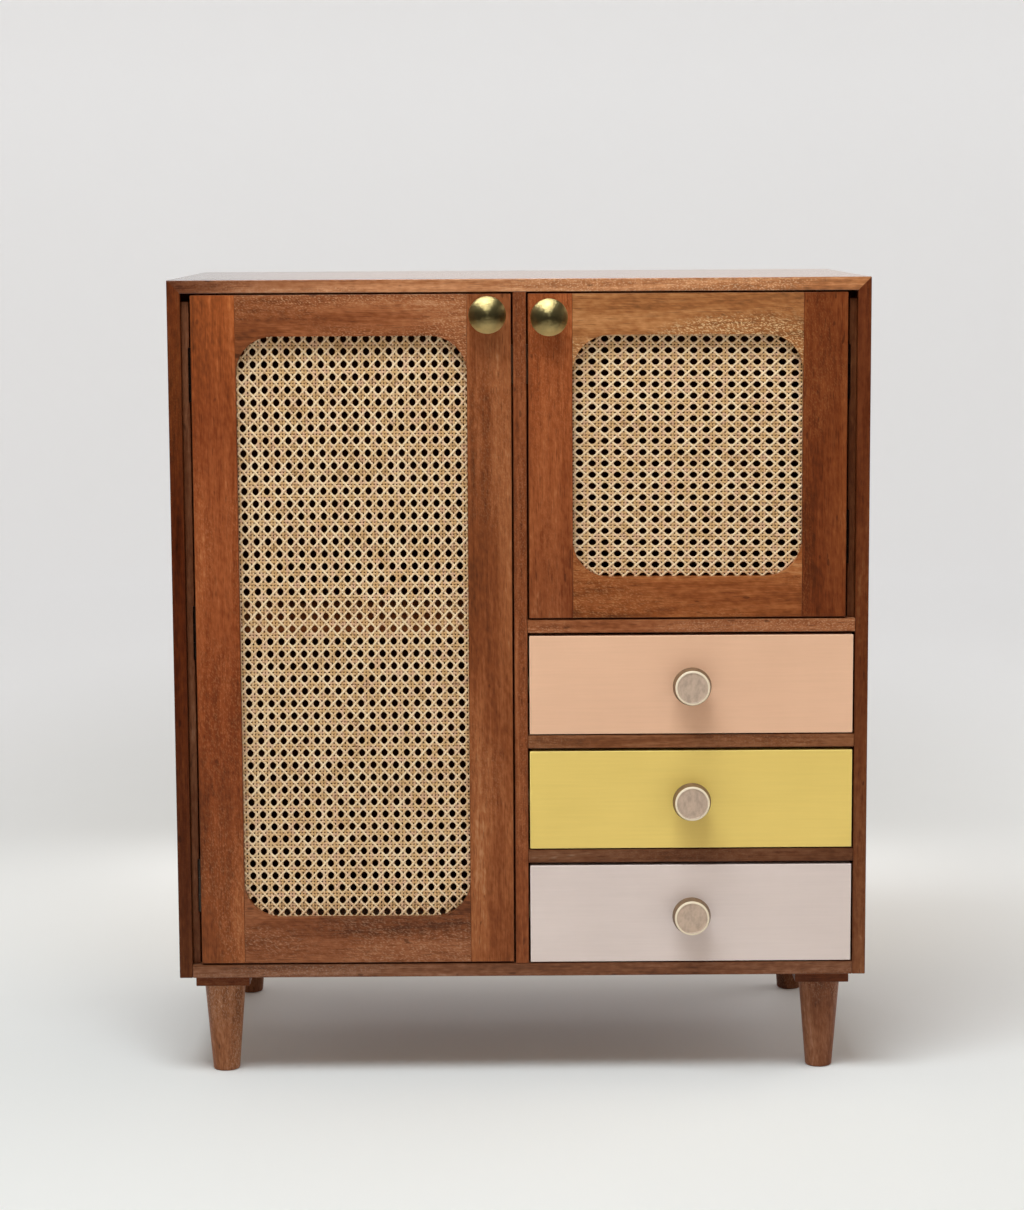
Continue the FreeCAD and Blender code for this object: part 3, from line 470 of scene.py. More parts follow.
def cane_finish():
    """Peeled cane: every strand has its own tone, with fibres and darker patches along it."""
    cane = bpy.context.scene.cabinet.cane
    finish = Finish("cane")
    place = finish.place()
    drift = finish.noise(place, (55.0, 55.0, 55.0), 3.0)
    fibres = finish.noise(place, (700.0, 700.0, 700.0), 2.0)
    tone = finish.attribute("strand_tone") * 0.40 + drift * 0.45 + (fibres - 0.5) * 0.30
    pinker = finish.rise(finish.noise(place, (120.0, 120.0, 90.0), 1.0), 0.48, 0.62)
    straw = finish.mix(pinker, cane.straw, cane.blush)
    layered = finish.mix(finish.rise(tone, 0.14, 0.36), cane.shade, straw)
    base = finish.mix(finish.rise(tone, 0.40, 0.74), layered, cane.cream)
    return finish.surface({
        "Base Color": base,
        "Roughness": 0.34 + (fibres - 0.5) * 0.3,
        "Normal": finish.bump(fibres, 0.2, 0.0002),
    })


def brass_finish():
    """Satin brass: spun round its axis, with duller patches."""
    knobs = bpy.context.scene.cabinet.knobs
    finish = Finish("brass")
    place = finish.place()
    turning = finish.attribute("turning", "Vector")
    spun = finish.noise(turning, (2600.0, 2600.0, 30.0), 2.0)
    patches = finish.noise(place, (95.0, 95.0, 95.0), 3.0)
    base = finish.mix(finish.rise(patches, 0.35, 0.75), knobs.brass, knobs.patina)
    return finish.surface({
        "Base Color": base,
        "Metallic": 1.0,
        "Roughness": 0.35 + (spun - 0.5) * 0.12 + (patches - 0.5) * 0.12,
        "Normal": finish.bump(spun, 1.0, 0.0003),
    })


# Heights on a drawer knob between which its drum turns into its face
DRUM_TO_FACE = (0.0262, 0.0268)


def pale_turned_wood():
    """A drawer knob: a mottled pale face, a cream rim that is partly a painted highlight, and a drum
    darkened as painted shade.
    """
    knobs = bpy.context.scene.cabinet.knobs
    finish = Finish("pale_turned_wood")
    place = finish.place()
    turning = finish.attribute("turning", "Vector")
    radius = finish.axis(turning, "X")
    cuts = finish.noise(turning, (1500.0, 1500.0, 20.0), 2.0)
    mottle = finish.noise(place, (210.0, 120.0, 120.0), 4.0, 0.6)
    deep = [part * 0.74 for part in knobs.face]
    shade = 0.5 + (mottle - 0.5) * 1.2 + (cuts - 0.5) * 0.3
    face = finish.ramp(shade, [(0.30, deep), (0.64, knobs.face)])
    inner = knobs.drawer_face - 2 * knobs.drawer_rim
    # The cream rim: partly its own paler wood, partly a painted highlight on the raised edge.
    rimmed = finish.mix(finish.rise(radius, inner, inner + 0.0004), face, knobs.rim)
    forward = finish.rise(finish.axis(turning, "Y"), *DRUM_TO_FACE)
    # The drum's darker brown is painted shade that makes its sides read dark.
    drum = finish.ramp(mottle, [(0.3, [part * 0.6 for part in knobs.drum]), (0.7, knobs.drum)])
    return finish.surface({
        "Base Color": finish.mix(forward, drum, rimmed),
        "Roughness": 0.48 + (cuts - 0.5) * 0.2,
        "Normal": finish.bump(cuts + mottle, 0.12, 0.0002),
    })


def steel_finish():
    """Burnished steel with a brushed grain and slight stains."""
    finish = Finish("steel")
    place = finish.place()
    tone = bpy.context.scene.cabinet.fittings.steel
    brushed = finish.noise(place, (900.0, 900.0, 60.0), 3.0)
    stains = finish.noise(place, (70.0, 70.0, 70.0), 3.0)
    base = finish.mix(finish.rise(stains, 0.4, 0.8), tone, [part * 0.62 for part in tone])
    return finish.surface({
        "Base Color": base,
        "Metallic": 1.0,
        "Roughness": 0.34 + (brushed - 0.5) * 0.25,
        "Normal": finish.bump(brushed, 0.08, 0.0002),
    })


def catch_plastic():
    """Moulded plastic with a fine spark grain."""
    finish = Finish("catch_plastic")
    place = finish.place()
    tone = bpy.context.scene.cabinet.fittings.plastic
    grain = finish.noise(place, (1800.0, 1800.0, 1800.0), 2.0)
    flow = finish.noise(place, (60.0, 60.0, 60.0), 2.0)
    base = finish.mix(flow, [part * 0.8 for part in tone], [part * 1.2 for part in tone])
    return finish.surface({
        "Base Color": base,
        "Roughness": 0.45 + (grain - 0.5) * 0.3,
        "Normal": finish.bump(grain, 0.2, 0.0001),
    })


def studio_paper():
    """Seamless pale studio paper that glows as painted light: brighter farther from the cabinet, and less
    in front.
    """
    studio = bpy.context.scene.cabinet.studio
    finish = Finish("studio_paper")
    place = finish.place()
    fleck = finish.noise(place, (3.0, 3.0, 3.0), 4.0)
    base = finish.mix(fleck, [part * 0.985 for part in studio.floor], studio.floor)
    spread = finish.vector("MULTIPLY", place, GLOW_STRETCH)
    far = finish.rise(finish.vector("LENGTH", spread, output="Value"), *GLOW_REACH)
    behind = finish.rise(finish.axis(place, "Y"), *GLOW_TURN)
    # Painted light: the paper glows, warm in front and cooler behind, and so lights the room.
    glow = finish.mix(behind, [part * studio.front_glow for part in studio.warm],
                      [part * studio.wall_glow for part in studio.wall])
    return finish.surface({
        "Base Color": base,
        "Roughness": 0.9,
        "Specular IOR Level": 0.1,
        "Emission Color": finish.mix(far, (0.0, 0.0, 0.0), glow),
        "Emission Strength": 1.0,
    })


FINISHES = {}


def finish_of(name):
    """The material of a slot, made when it is first asked for."""
    makers = {
        "stained_wood": stained_wood, "plain_wood": plain_wood, "plywood": plywood, "cane": cane_finish,
        "brass": brass_finish, "pale_turned_wood": pale_turned_wood, "steel": steel_finish,
        "catch_plastic": catch_plastic,
    }
    if name not in FINISHES:
        if name in makers:
            FINISHES[name] = makers[name]()
        else:
            paints = bpy.context.scene.cabinet.paint
            tones = {"peach_paint": paints.upper, "yellow_paint": paints.middle,
                     "grey_pink_paint": paints.lower}
            FINISHES[name] = paint(name, tones[name])
    return FINISHES[name]


# Meshes

MERGE_DISTANCE = 1e-6
SHARP = math.radians(30)
FLAT = math.radians(0.5)
ON_FACE = 1e-5
ROUND_STEPS = 6
UPRIGHT = Matrix.Rotation(math.radians(90), 4, "X")


def add_piece(name, mesh):
    """A new object at the origin that holds a mesh."""
    piece = bpy.data.objects.new(name, mesh)
    bpy.context.scene.collection.objects.link(piece)
    return piece


def settle(piece, body, slot, *nodes):
    """Gives a finished piece its finish if it has none, attaches it to its body, and hides the CAD nodes
    that it stands for.
    """
    if not piece.data.materials:
        piece.data.materials.append(finish_of(slot))
    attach(piece, body)
    if nodes:
        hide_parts(*nodes)
    return piece


def body_of(node):
    """The body that a CAD node rides on."""
    return frame["nodes"][node]["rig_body"]


def solids_of(bm):
    """The vertices of each separate solid in a mesh."""
    waiting = set(bm.verts)
    groups = []
    while waiting:
        edge_of_group = [waiting.pop()]
        group = list(edge_of_group)
        while edge_of_group:
            vert = edge_of_group.pop()
            for near in (edge.other_vert(vert) for edge in vert.link_edges):
                if near in waiting:
                    waiting.remove(near)
                    group.append(near)
                    edge_of_group.append(near)
        groups.append(group)

    def lowest(group):
        return tuple(min(vert.co[axis] for vert in group) for axis in (2, 0, 1))

    return sorted(groups, key=lowest)


def box_of(verts):
    """Lowest and highest corner of some vertices."""
    low = Vector(min(vert.co[axis] for vert in verts) for axis in range(3))
    high = Vector(max(vert.co[axis] for vert in verts) for axis in range(3))
    return low, high


def is_soft(edge):
    """Whether an edge lies between two facets of a curved face."""
    return len(edge.link_faces) == 2 and FLAT < edge.calc_face_angle() < SHARP


def arris_edges(group):
    """The sharp edges of a solid that lie along two faces of its box."""
    low, high = box_of(group)
    edges = {edge for vert in group for edge in vert.link_edges}

    def faces_at(vert):
        at_low = {(axis, "low") for axis in range(3) if abs(vert.co[axis] - low[axis]) < ON_FACE}
        at_high = {(axis, "high") for axis in range(3) if abs(vert.co[axis] - high[axis]) < ON_FACE}
        return at_low | at_high

    found = []
    for edge in edges:
        if len(edge.link_faces) == 2 and edge.calc_face_angle() > SHARP:
            shared = faces_at(edge.verts[0]) & faces_at(edge.verts[1])
            if len(shared) > 1:
                found.append(edge)
    return sorted(found, key=lambda edge: edge.index)


# How a board is cut and finished: its grain's axis, its tint, its share of flecks and its polish.
# A tint that drifts is given as an axis and stops of (share of the way, tint)
Board = namedtuple("Board", "along tint figure polish", defaults=((1.0, 1.0, 1.0), 0.3, 0.0))
Drift = namedtuple("Drift", "axis stops")
BOARD_MARGIN = 0.02
HEART_MARGIN = 0.03
LOG_STEP_ALONG = 0.731
LOG_STEP_THROUGH = 0.213
LOG_DEPTH = 0.5
SOLID_STEP = 0.37


def tint_at(stops, part):
    """The tint at a share of the way, between the stops on either side."""
    for (start, first), (end, second) in zip(stops, stops[1:]):
        if part <= end:
            return Vector(first).lerp(Vector(second), (part - start) / (end - start))
    return Vector(stops[-1][1])


def cut_across(bm, axis, at):
    """Splits the faces of a mesh where a plane across an axis meets them."""
    middle = Vector((0, 0, 0))
    middle[axis] = at
    normal = Vector((0, 0, 0))
    normal[axis] = 1
    everything = [*bm.verts, *bm.edges, *bm.faces]
    bmesh.ops.bisect_plane(bm, geom=everything, plane_co=middle, plane_no=normal)


def lay_grain(bm, board, seed):
    """Writes each vertex's place in the log that its solid was cut from, with the board's tint."""
    drift = board.tint
    if not isinstance(drift, Drift):
        drift = Drift(board.along, ((0.0, board.tint), (1.0, board.tint)))
    drift_axis = "XYZ".index(drift.axis)
    start, end = (corner[drift_axis] for corner in box_of(bm.verts))
    for part, _ in drift.stops[1:-1]:
        cut_across(bm, drift_axis, start + (end - start) * part)
    grain = bm.verts.layers.float_vector.new("grain")
    tint = bm.verts.layers.float_vector.new("tint")
    figure = bm.verts.layers.float.new("figure")
    polish = bm.verts.layers.float.new("polish")
    along = "XYZ".index(board.along)
    for number, group in enumerate(solids_of(bm)):
        low, high = box_of(group)
        across, through = sorted((axis for axis in range(3) if axis != along),
                                 key=lambda axis: low[axis] - high[axis])
        log = seed + SOLID_STEP * number
        depth = HEART_MARGIN + (log * LOG_STEP_THROUGH) % LOG_DEPTH
        for vert in group:
            vert[grain] = (
                vert.co[along] + log * LOG_STEP_ALONG,
                vert.co[across] - low[across] + BOARD_MARGIN,
                vert.co[through] - low[through] + depth,
            )
            vert[tint] = tint_at(drift.stops, (vert.co[drift_axis] - start) / (end - start))
            vert[figure] = board.figure
            vert[polish] = board.polish


def eased_board(node, slot, board, seed):
    """Stands for a CAD board: its triangles merged, its long edges eased, its grain laid."""
    source = frame["nodes"][node]
    bm = bmesh.new()
    bm.from_mesh(source.data)
    bmesh.ops.remove_doubles(bm, verts=bm.verts, dist=MERGE_DISTANCE)
    bmesh.ops.dissolve_limit(bm, angle_limit=FLAT, verts=bm.verts, edges=bm.edges)
    arris = bm.faces.layers.float.new("arris")
    for face in bm.faces:
        face.smooth = sum(is_soft(edge) for edge in face.edges) > 1
    bm.edges.index_update()
    edges = [edge for group in solids_of(bm) for edge in arris_edges(group)]
    eased = bmesh.ops.bevel(bm, geom=edges, offset=bpy.context.scene.cabinet.wood.arris,
                            offset_type="OFFSET", segments=2, profile=0.5, affect="EDGES")
    for face in eased["faces"]:
        face[arris] = 1.0
        face.smooth = True
    lay_grain(bm, board, seed)
    rounded = [face.smooth for face in bm.faces]
    mesh = bpy.data.meshes.new(f"{node}_finished")
    bm.to_mesh(mesh)
    bm.free()
    if "custom_normal" in mesh.attributes:
        mesh.attributes.remove(mesh.attributes["custom_normal"])
    mesh.set_sharp_from_angle(angle=SHARP)
    mesh.polygons.foreach_set("use_smooth", rounded)
    return settle(add_piece(f"{node}_finished", mesh), body_of(node), slot, node)


def arc(centre, radius, start, end, steps):
    """Points of (radius, height) along an arc, from one angle to another in degrees."""
    angles = [math.radians(start + (end - start) * step / steps) for step in range(steps + 1)]
    return [(centre[0] + radius * math.cos(a), centre[1] + radius * math.sin(a)) for a in angles]


def lathe(profile, turn, segments):
    """Spins a profile of (radius, height) about +Z, then turns and places it. Returns a bmesh."""
    bm = bmesh.new()
    turning = bm.verts.layers.float_vector.new("turning")
    rings = []
    for radius, height in profile:
        count = segments if radius > 0 else 1
        ring = []
        for step in range(count):
            around = 2 * math.pi * step / segments
            vert = bm.verts.new((radius * math.cos(around), radius * math.sin(around), height))
            vert[turning] = (radius, height, radius * math.sin(around))
            ring.append(vert)
        rings.append(ring)
    for lower, upper in zip(rings, rings[1:]):
        for step in range(segments):
            after = (step + 1) % segments
            corners = [lower[step % len(lower)], lower[after % len(lower)],
                       upper[after % len(upper)], upper[step % len(upper)]]
            bm.faces.new(list(dict.fromkeys(corners)))
    bmesh.ops.recalc_face_normals(bm, faces=bm.faces)
    for face in bm.faces:
        face.smooth = True
    bm.transform(turn)
    return bm


def lathe_mesh(name, bm):
    """Ends a lathe's mesh, with its crisp edges kept sharp."""
    mesh = bpy.data.meshes.new(name)
    bm.to_mesh(mesh)
    bm.free()
    mesh.set_sharp_from_angle(angle=SHARP)
    return mesh


def turned_piece(node, bm, slot):
    """Stands for a CAD piece with what the lathe made."""
    name = f"{node}_turned"
    return settle(add_piece(name, lathe_mesh(name, bm)), body_of(node), slot, node)


def facing_front(node):
    """Turns +Z to the front and puts the base at a knob's middle on the front plane."""
    low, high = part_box(node)
    middle = (low + high) / 2
    return Matrix.Translation((middle.x, front_plane, middle.z)) @ UPRIGHT


# Boards

CARCASS = {
    "top_panel": Board("X", Drift("X", (
        (0.0, (0.42, 0.42, 0.60)), (0.12, (1.05, 1.38, 2.10)), (0.30, (1.60, 2.35, 3.70)),
        (1.0, (1.95, 3.00, 4.60)))), 0.5, 1.0),
    "left_side_panel": Board("Z", Drift("Z", (
        (0.0, (0.35, 0.34, 0.34)), (0.35, (0.32, 0.21, 0.11)), (0.65, (0.36, 0.23, 0.11)),
        (0.85, (0.62, 0.54, 0.40)), (1.0, (0.58, 0.48, 0.40)))), 0.15),
    "right_side_panel": Board("Z", Drift("Z", (
        (0.0, (0.62, 0.74, 1.00)), (0.28, (0.52, 0.52, 0.56)), (0.45, (0.38, 0.29, 0.22)),
        (1.0, (0.48, 0.38, 0.36)))), 0.15),
    "bottom_panel": Board("X", (0.77, 1.16, 2.20), 0.4),
    "centre_partition": Board("Z", (0.92, 0.94, 1.12), 0.3),
    "cupboard_floor": Board("X", (1.03, 1.20, 1.62), 0.8),
    "drawer_rails": Board("X", Drift("Z", ((0.0, (0.51, 0.68, 1.10)), (1.0, (0.86, 1.15, 1.72)))), 0.25),
    "left_hinge_batten": Board("Z", (0.62, 0.74, 1.10), 0.1),
    "right_hinge_batten": Board("Z", (0.50, 0.52, 0.60), 0.1),
    "cupboard_shelf": Board("X", (0.95, 0.92, 0.90), 0.3),
    # The leg blocks are tinted darker: painted shade, as they sit in the shadow under the cabinet.
    "leg_blocks": Board("X", (0.58, 0.57, 0.64), 0.2),
}
DOOR_FRAMES = {
    "tall_door_hinge_stile": Board("Z", Drift("Z", (
        (0.0, (1.05, 1.16, 1.40)), (0.35, (0.97, 0.84, 0.84)), (0.80, (0.93, 0.79, 0.77)),
        (1.0, (1.42, 1.38, 1.32)))), 0.35),
    "tall_door_knob_stile": Board("Z", (0.93, 0.99, 1.15), 0.25),
    "tall_door_top_rail": Board("X", (0.97, 1.10, 1.40), 1.0),
    "tall_door_bottom_rail": Board("X", (0.92, 1.12, 1.65), 0.5),
    "small_door_hinge_stile": Board("Z", (0.66, 0.55, 0.46), 0.3),
    "small_door_knob_stile": Board("Z", Drift("Z", (
        (0.0, (0.72, 0.64, 0.68)), (1.0, (1.33, 1.26, 1.30)))), 0.2),
    "small_door_top_rail": Board("X", (1.42, 2.10, 2.70), 1.0),
    "small_door_bottom_rail": Board("X", (1.04, 1.11, 1.13), 0.4),
    "tall_door_cane_beads": Board("Z", (0.9, 0.9, 0.9), 0.1),
    "small_door_cane_beads": Board("Z", (0.9, 0.9, 0.9), 0.1),
}
LEGS = {
    "front_left": Board("Z", (1.18, 1.72, 2.90), 0.5),
    "front_right": Board("Z", (0.80, 1.10, 1.90), 0.5),
    # The rear legs are tinted darker than the front ones: painted shade, as they stand in the shadow
    # under the cabinet.
    "rear_left": Board("Z", (0.58, 0.72, 1.05), 0.4),
    "rear_right": Board("Z", (0.54, 0.67, 0.98), 0.4),
}
FRONT_SLOTS = {"upper_drawer": "peach_paint", "middle_drawer": "yellow_paint",
               "lower_drawer": "grey_pink_paint"}
# First log of each group of boards, so that no two boards share their figure
BACK_LOG = 40
LEG_LOG = 60
FRONT_LOG = 70
SIDE_LOG = 80
DRAWER_BACK_LOG = 85
DRAWER_BOTTOM_LOG = 90
RUNNER_LOG = 95


class CABINET_OT_carcass(bpy.types.Operator):
    """Finishes the carcass boards, battens, shelf and leg blocks in stained wood"""

    bl_idname = "cabinet.carcass"
    bl_label = "Carcass boards"

    def execute(self, context):
        for seed, (node, board) in enumerate(CARCASS.items(), start=1):
            eased_board(node, "stained_wood", board, seed)
        return {"FINISHED"}


class CABINET_OT_door_frames(bpy.types.Operator):
    """Finishes the doors' stiles, rails and cane beads in stained wood"""

    bl_idname = "cabinet.door_frames"
    bl_label = "Door frames"

    def execute(self, context):
        for seed, (node, board) in enumerate(DOOR_FRAMES.items(), start=len(CARCASS) + 1):
            eased_board(node, "stained_wood", board, seed)
        return {"FINISHED"}


class CABINET_OT_back_panel(bpy.types.Operator):
    """Finishes the plywood back, stained and darkened inside as painted shade, and the screws round its
    edge
    """

    bl_idname = "cabinet.back_panel"
    bl_label = "Back panel"

    # The inside face is stained, and darkened further as painted shade so the cupboard's inside reads
    # dark through the cane.
    INSIDE_STAIN_AND_SHADE = Drift("Y", ((0.0, (0.20, 0.085, 0.04)), (1.0, (1.0, 1.0, 1.0))))

    def execute(self, context):
        fittings = context.scene.cabinet.fittings
        eased_board("back_panel", "plywood", Board("Z", self.INSIDE_STAIN_AND_SHADE), BACK_LOG)
        low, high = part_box("back_panel")
        inset = fittings.back_screw_inset
        spots = []
        for axis, other in ((0, 2), (2, 0)):
            span = high[axis] - low[axis] - 2 * inset
            count = round(span / fittings.back_screw_step)
            for edge in (low[other] + inset, high[other] - inset):
                for step in range(count + (axis == 0)):
                    spot = Vector((0, high.y, 0))
                    spot[axis] = low[axis] + inset + span * (step + (axis == 2) * 0.5) / count
                    spot[other] = edge
                    spots.append((spot, (0, 1, 0)))
        settle(screw_heads("back_panel_screws", spots), "carcass", "steel")
        return {"FINISHED"}


class CABINET_OT_legs(bpy.types.Operator):
    """Turns the four tapered legs"""

    bl_idname = "cabinet.legs"
    bl_label = "Legs"

    FOOT_ROUND = 0.0025
    FOOT_RADIUS = 0.0155
    SHAFT_STEPS = 4
    SEGMENTS = 64

    def execute(self, context):
        for seed, (corner, board) in enumerate(LEGS.items(), start=LEG_LOG):
            node = f"{corner}_leg"
            low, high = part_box(node)
            top_radius = (high.x - low.x) / 2
            tall = high.z - low.z
            flat = self.FOOT_RADIUS - self.FOOT_ROUND
            profile = [(0, 0)] + arc((flat, self.FOOT_ROUND), self.FOOT_ROUND, -90, 0, ROUND_STEPS)
            for step in range(1, self.SHAFT_STEPS + 1):
                part = step / self.SHAFT_STEPS
                profile.append((self.FOOT_RADIUS + (top_radius - self.FOOT_RADIUS) * part,
                                self.FOOT_ROUND + (tall - self.FOOT_ROUND) * part))
            profile.append((0, tall))
            middle = (low + high) / 2
            bm = lathe(profile, Matrix.Translation((middle.x, middle.y, low.z)), self.SEGMENTS)
            lay_grain(bm, board, seed)
            turned_piece(node, bm, "stained_wood")
        return {"FINISHED"}


class CABINET_OT_drawer_fronts(bpy.types.Operator):
    """Paints the three drawer fronts"""

    bl_idname = "cabinet.drawer_fronts"
    bl_label = "Drawer fronts"

    def execute(self, context):
        for seed, drawer in enumerate(DRAWERS, start=FRONT_LOG):
            eased_board(f"{drawer}_front", FRONT_SLOTS[drawer], Board("X"), seed)
        return {"FINISHED"}


class CABINET_OT_drawer_boxes(bpy.types.Operator):
    """Finishes the drawer boxes and their runners in plain wood and plywood"""

    bl_idname = "cabinet.drawer_boxes"
    bl_label = "Drawer boxes"

    def execute(self, context):
        for number, drawer in enumerate(DRAWERS):
            eased_board(f"{drawer}_sides", "plain_wood", Board("Y"), SIDE_LOG + number)
            eased_board(f"{drawer}_back", "plain_wood", Board("X"), DRAWER_BACK_LOG + number)
            eased_board(f"{drawer}_bottom", "plywood", Board("Y"), DRAWER_BOTTOM_LOG + number)
        eased_board("drawer_runners", "plain_wood", Board("Y"), RUNNER_LOG)
        return {"FINISHED"}


# Knobs

class CABINET_OT_door_knobs(bpy.types.Operator):
    """Turns the two brass mushroom knobs"""

    bl_idname = "cabinet.door_knobs"
    bl_label = "Door knobs"

    SEGMENTS = 96
    DOME_STEPS = 24
    EDGE = 0.0005
    ROUND = 0.001

    def execute(self, context):
        knobs = context.scene.cabinet.knobs
        for door in DOORS:
            node = f"{door}_knob"
            low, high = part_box(node)
            radius = (high.x - low.x) / 2
            reach = front_plane - low.y
            shoulder = reach - knobs.door_dome
            dome_radius = (radius ** 2 + knobs.door_dome ** 2) / (2 * knobs.door_dome)
            middle = reach - dome_radius
            out = radius - self.ROUND
            above = math.sqrt((dome_radius - self.ROUND) ** 2 - out ** 2)
            turned = math.degrees(math.atan2(above, out))
            edge = self.EDGE
            underside = shoulder - knobs.door_rim
            profile = [(0, 0), (knobs.door_neck, 0), (knobs.door_neck, knobs.door_neck_length),
                       (radius - 2 * edge, underside), (radius - 0.3 * edge, underside + 0.7 * edge),
                       (radius, underside + 2 * edge)]
            profile += arc((out, middle + above), self.ROUND, 0, turned, ROUND_STEPS)
            profile += arc((0, middle), dome_radius, turned, 90, self.DOME_STEPS)[1:-1]
            profile.append((0, reach))
            bm = lathe(profile, facing_front(node), self.SEGMENTS)
            turned_piece(node, bm, "brass")
        return {"FINISHED"}


class CABINET_OT_drawer_knobs(bpy.types.Operator):
    """Turns the three pale drum knobs"""

    bl_idname = "cabinet.drawer_knobs"
    bl_label = "Drawer knobs"

    SEGMENTS = 96
    ROUND = 0.0015
    CHAMFER = 0.001
    CHAMFER_BACK = 0.0004

    def execute(self, context):
        knobs = context.scene.cabinet.knobs
        for drawer in DRAWERS:
            node = f"{drawer}_knob"
            low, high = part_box(node)
            drum = (high.x - low.x) / 2
            reach = front_plane - low.y
            face = knobs.drawer_face
            inner = face - self.ROUND - knobs.drawer_rim
            dish = knobs.drawer_dish
            back = reach - knobs.drawer_drum - self.CHAMFER_BACK
            profile = [(0, 0), (knobs.drawer_neck, 0), (knobs.drawer_neck, knobs.drawer_neck_length),
                       (drum - self.CHAMFER, back), (drum, back + self.CHAMFER)]
            profile += arc((face - self.ROUND, reach - self.ROUND), self.ROUND, 0, 90, ROUND_STEPS)
            profile += [(inner, reach), (inner - dish, reach - dish), (0, reach - dish)]
            bm = lathe(profile, facing_front(node), self.SEGMENTS)
            turned_piece(node, bm, "pale_turned_wood")
        return {"FINISHED"}


# Cane

STRAND_SIDES = 6


def strand_family(recipe, steps, heights, start, run, row, sign, common):
    """One family of parallel bent strands: a line of points, copied row by row and cut to the sheet."""
    samples = len(steps)
    line = recipe.node("GeometryNodeMeshLine", {"mode": "OFFSET"},
                       {"Count": common["repeats"] * samples + 1, "Offset": (0.0, 0.0, 0.0)})
    index = recipe.node("GeometryNodeInputIndex")
    sample = recipe.math("MODULO", index, samples)
    repeat = recipe.math("FLOOR", index / samples)
    switch = {"data_type": "FLOAT", "items": samples}
    step, height = (
        recipe.node("GeometryNodeIndexSwitch", switch, {0: sample, **dict(enumerate(choices, start=1))})
        for choices in (steps, heights))
    along = recipe.node("ShaderNodeVectorMath", {"operation": "SCALE"},
                        {0: run, "Scale": repeat + step})
    flat = recipe.vector("ADD", start, along)
    bent = recipe.vector("ADD", flat, recipe.join(z=height * common["rise"] * sign + common["lift"]))
    moved = recipe.node("GeometryNodeSetPosition", None, {"Geometry": line, "Position": bent})
    strand = recipe.node("GeometryNodeMeshToCurve", None, {0: moved})
    rows = recipe.node("GeometryNodeMeshLine", {"mode": "OFFSET"},
                       {"Count": common["rows"], "Offset": row})
    copies = recipe.node("GeometryNodeInstanceOnPoints", None, {"Points": rows, "Instance": strand})
    tone = recipe.node("FunctionNodeRandomValue", {"data_type": "FLOAT"}, {
        2: common["tone_low"], 3: common["tone_low"] + common["tone_spread"], "Seed": common["seed"]}, 1)
    toned = recipe.node("GeometryNodeStoreNamedAttribute", {"data_type": "FLOAT", "domain": "INSTANCE"},
                        {"Geometry": copies, "Name": "strand_tone", "Value": tone})
    curves = recipe.node("GeometryNodeRealizeInstances", None, {0: toned})
    place = recipe.node("GeometryNodeInputPosition")
    past = []
    for axis, size in (("X", common["width"]), ("Y", common["height"])):
        past.append(recipe.math("ABSOLUTE", recipe.axis(place, axis) - size / 2.0) - size / 2.0)
    outside = recipe.math("GREATER_THAN", recipe.math("MAXIMUM", *past), 0.0)
    stub = recipe.math("LESS_THAN", recipe.node("GeometryNodeSplineLength"), common["strand"])
    for domain, selection in (("POINT", outside), ("CURVE", stub)):
        curves = recipe.node("GeometryNodeDeleteGeometry", {"domain": domain},
                             {0: curves, "Selection": selection})
    upright = recipe.node("GeometryNodeSetCurveNormal", {"mode": "Z_UP"}, {0: curves})
    ring = recipe.node("GeometryNodeCurvePrimitiveCircle", {"mode": "RADIUS"},
                       {"Resolution": STRAND_SIDES, "Radius": 0.5})
    section = recipe.node("GeometryNodeTransform", None, {
        "Geometry": ring, "Scale": recipe.join(common["strand"], common["thickness"], 1.0)})
    return recipe.node("GeometryNodeCurveToMesh", None,
                       {"Curve": upright, "Profile Curve": section, "Fill Caps": True})


def strand_recipe(name, steps, heights):
    """A tree for two families of strands that bend opposite ways: a pair, or the two diagonals."""
    recipe = Recipe(name)
    common = {
        "width": recipe.input("Sheet Width"), "height": recipe.input("Sheet Height"),
        "strand": recipe.input("Strand Width"), "thickness": recipe.input("Strand Thickness"),
        "rise": recipe.input("Rise"), "repeats": recipe.input("Repeats", "Int"),
        "rows": recipe.input("Rows", "Int"), "seed": recipe.input("Seed", "Int"),
        "tone_low": recipe.input("Tone"), "tone_spread": recipe.input("Tone Spread"),
        "lift": recipe.input("Lift"),
    }
    bend = recipe.input("Bend Share")
    row = recipe.input("Row Step", "Vector")
    steps = [at + bend * shift for at, shift in steps]
    families = []
    for label, sign in (("First", 1.0), ("Second", -1.0)):
        start = recipe.input(f"{label} Start", "Vector")
        run = recipe.input(f"{label} Run", "Vector")
        families.append(strand_family(recipe, steps, heights, start, run, row, sign, common))
    return recipe.close(recipe.union(*families), finish_of("cane"))


# Samples along one repeat, as a share of it plus so many bend shares, with their heights
PAIR_STEPS = [(0.0, -1.0), (0.0, 0.0), (0.0, 1.0), (0.5, 0.0)]
PAIR_HEIGHTS = [-1.0, 0.0, 1.0, 0.0]
DIAGONAL_STEPS = [(0.0, -1.0), (0.0, 0.0), (0.0, 1.0), (0.5, -1.0), (0.5, 0.0), (0.5, 1.0)]
DIAGONAL_HEIGHTS = [0.9, 1.0, 0.9, -0.9, -1.0, -0.9]
DIAGONAL_BEND = 0.12
# Lowest strand tone and how far above it the others lie
PAIR_TONES = (0.0, 0.7)
DIAGONAL_TONES = (0.80, 0.35)


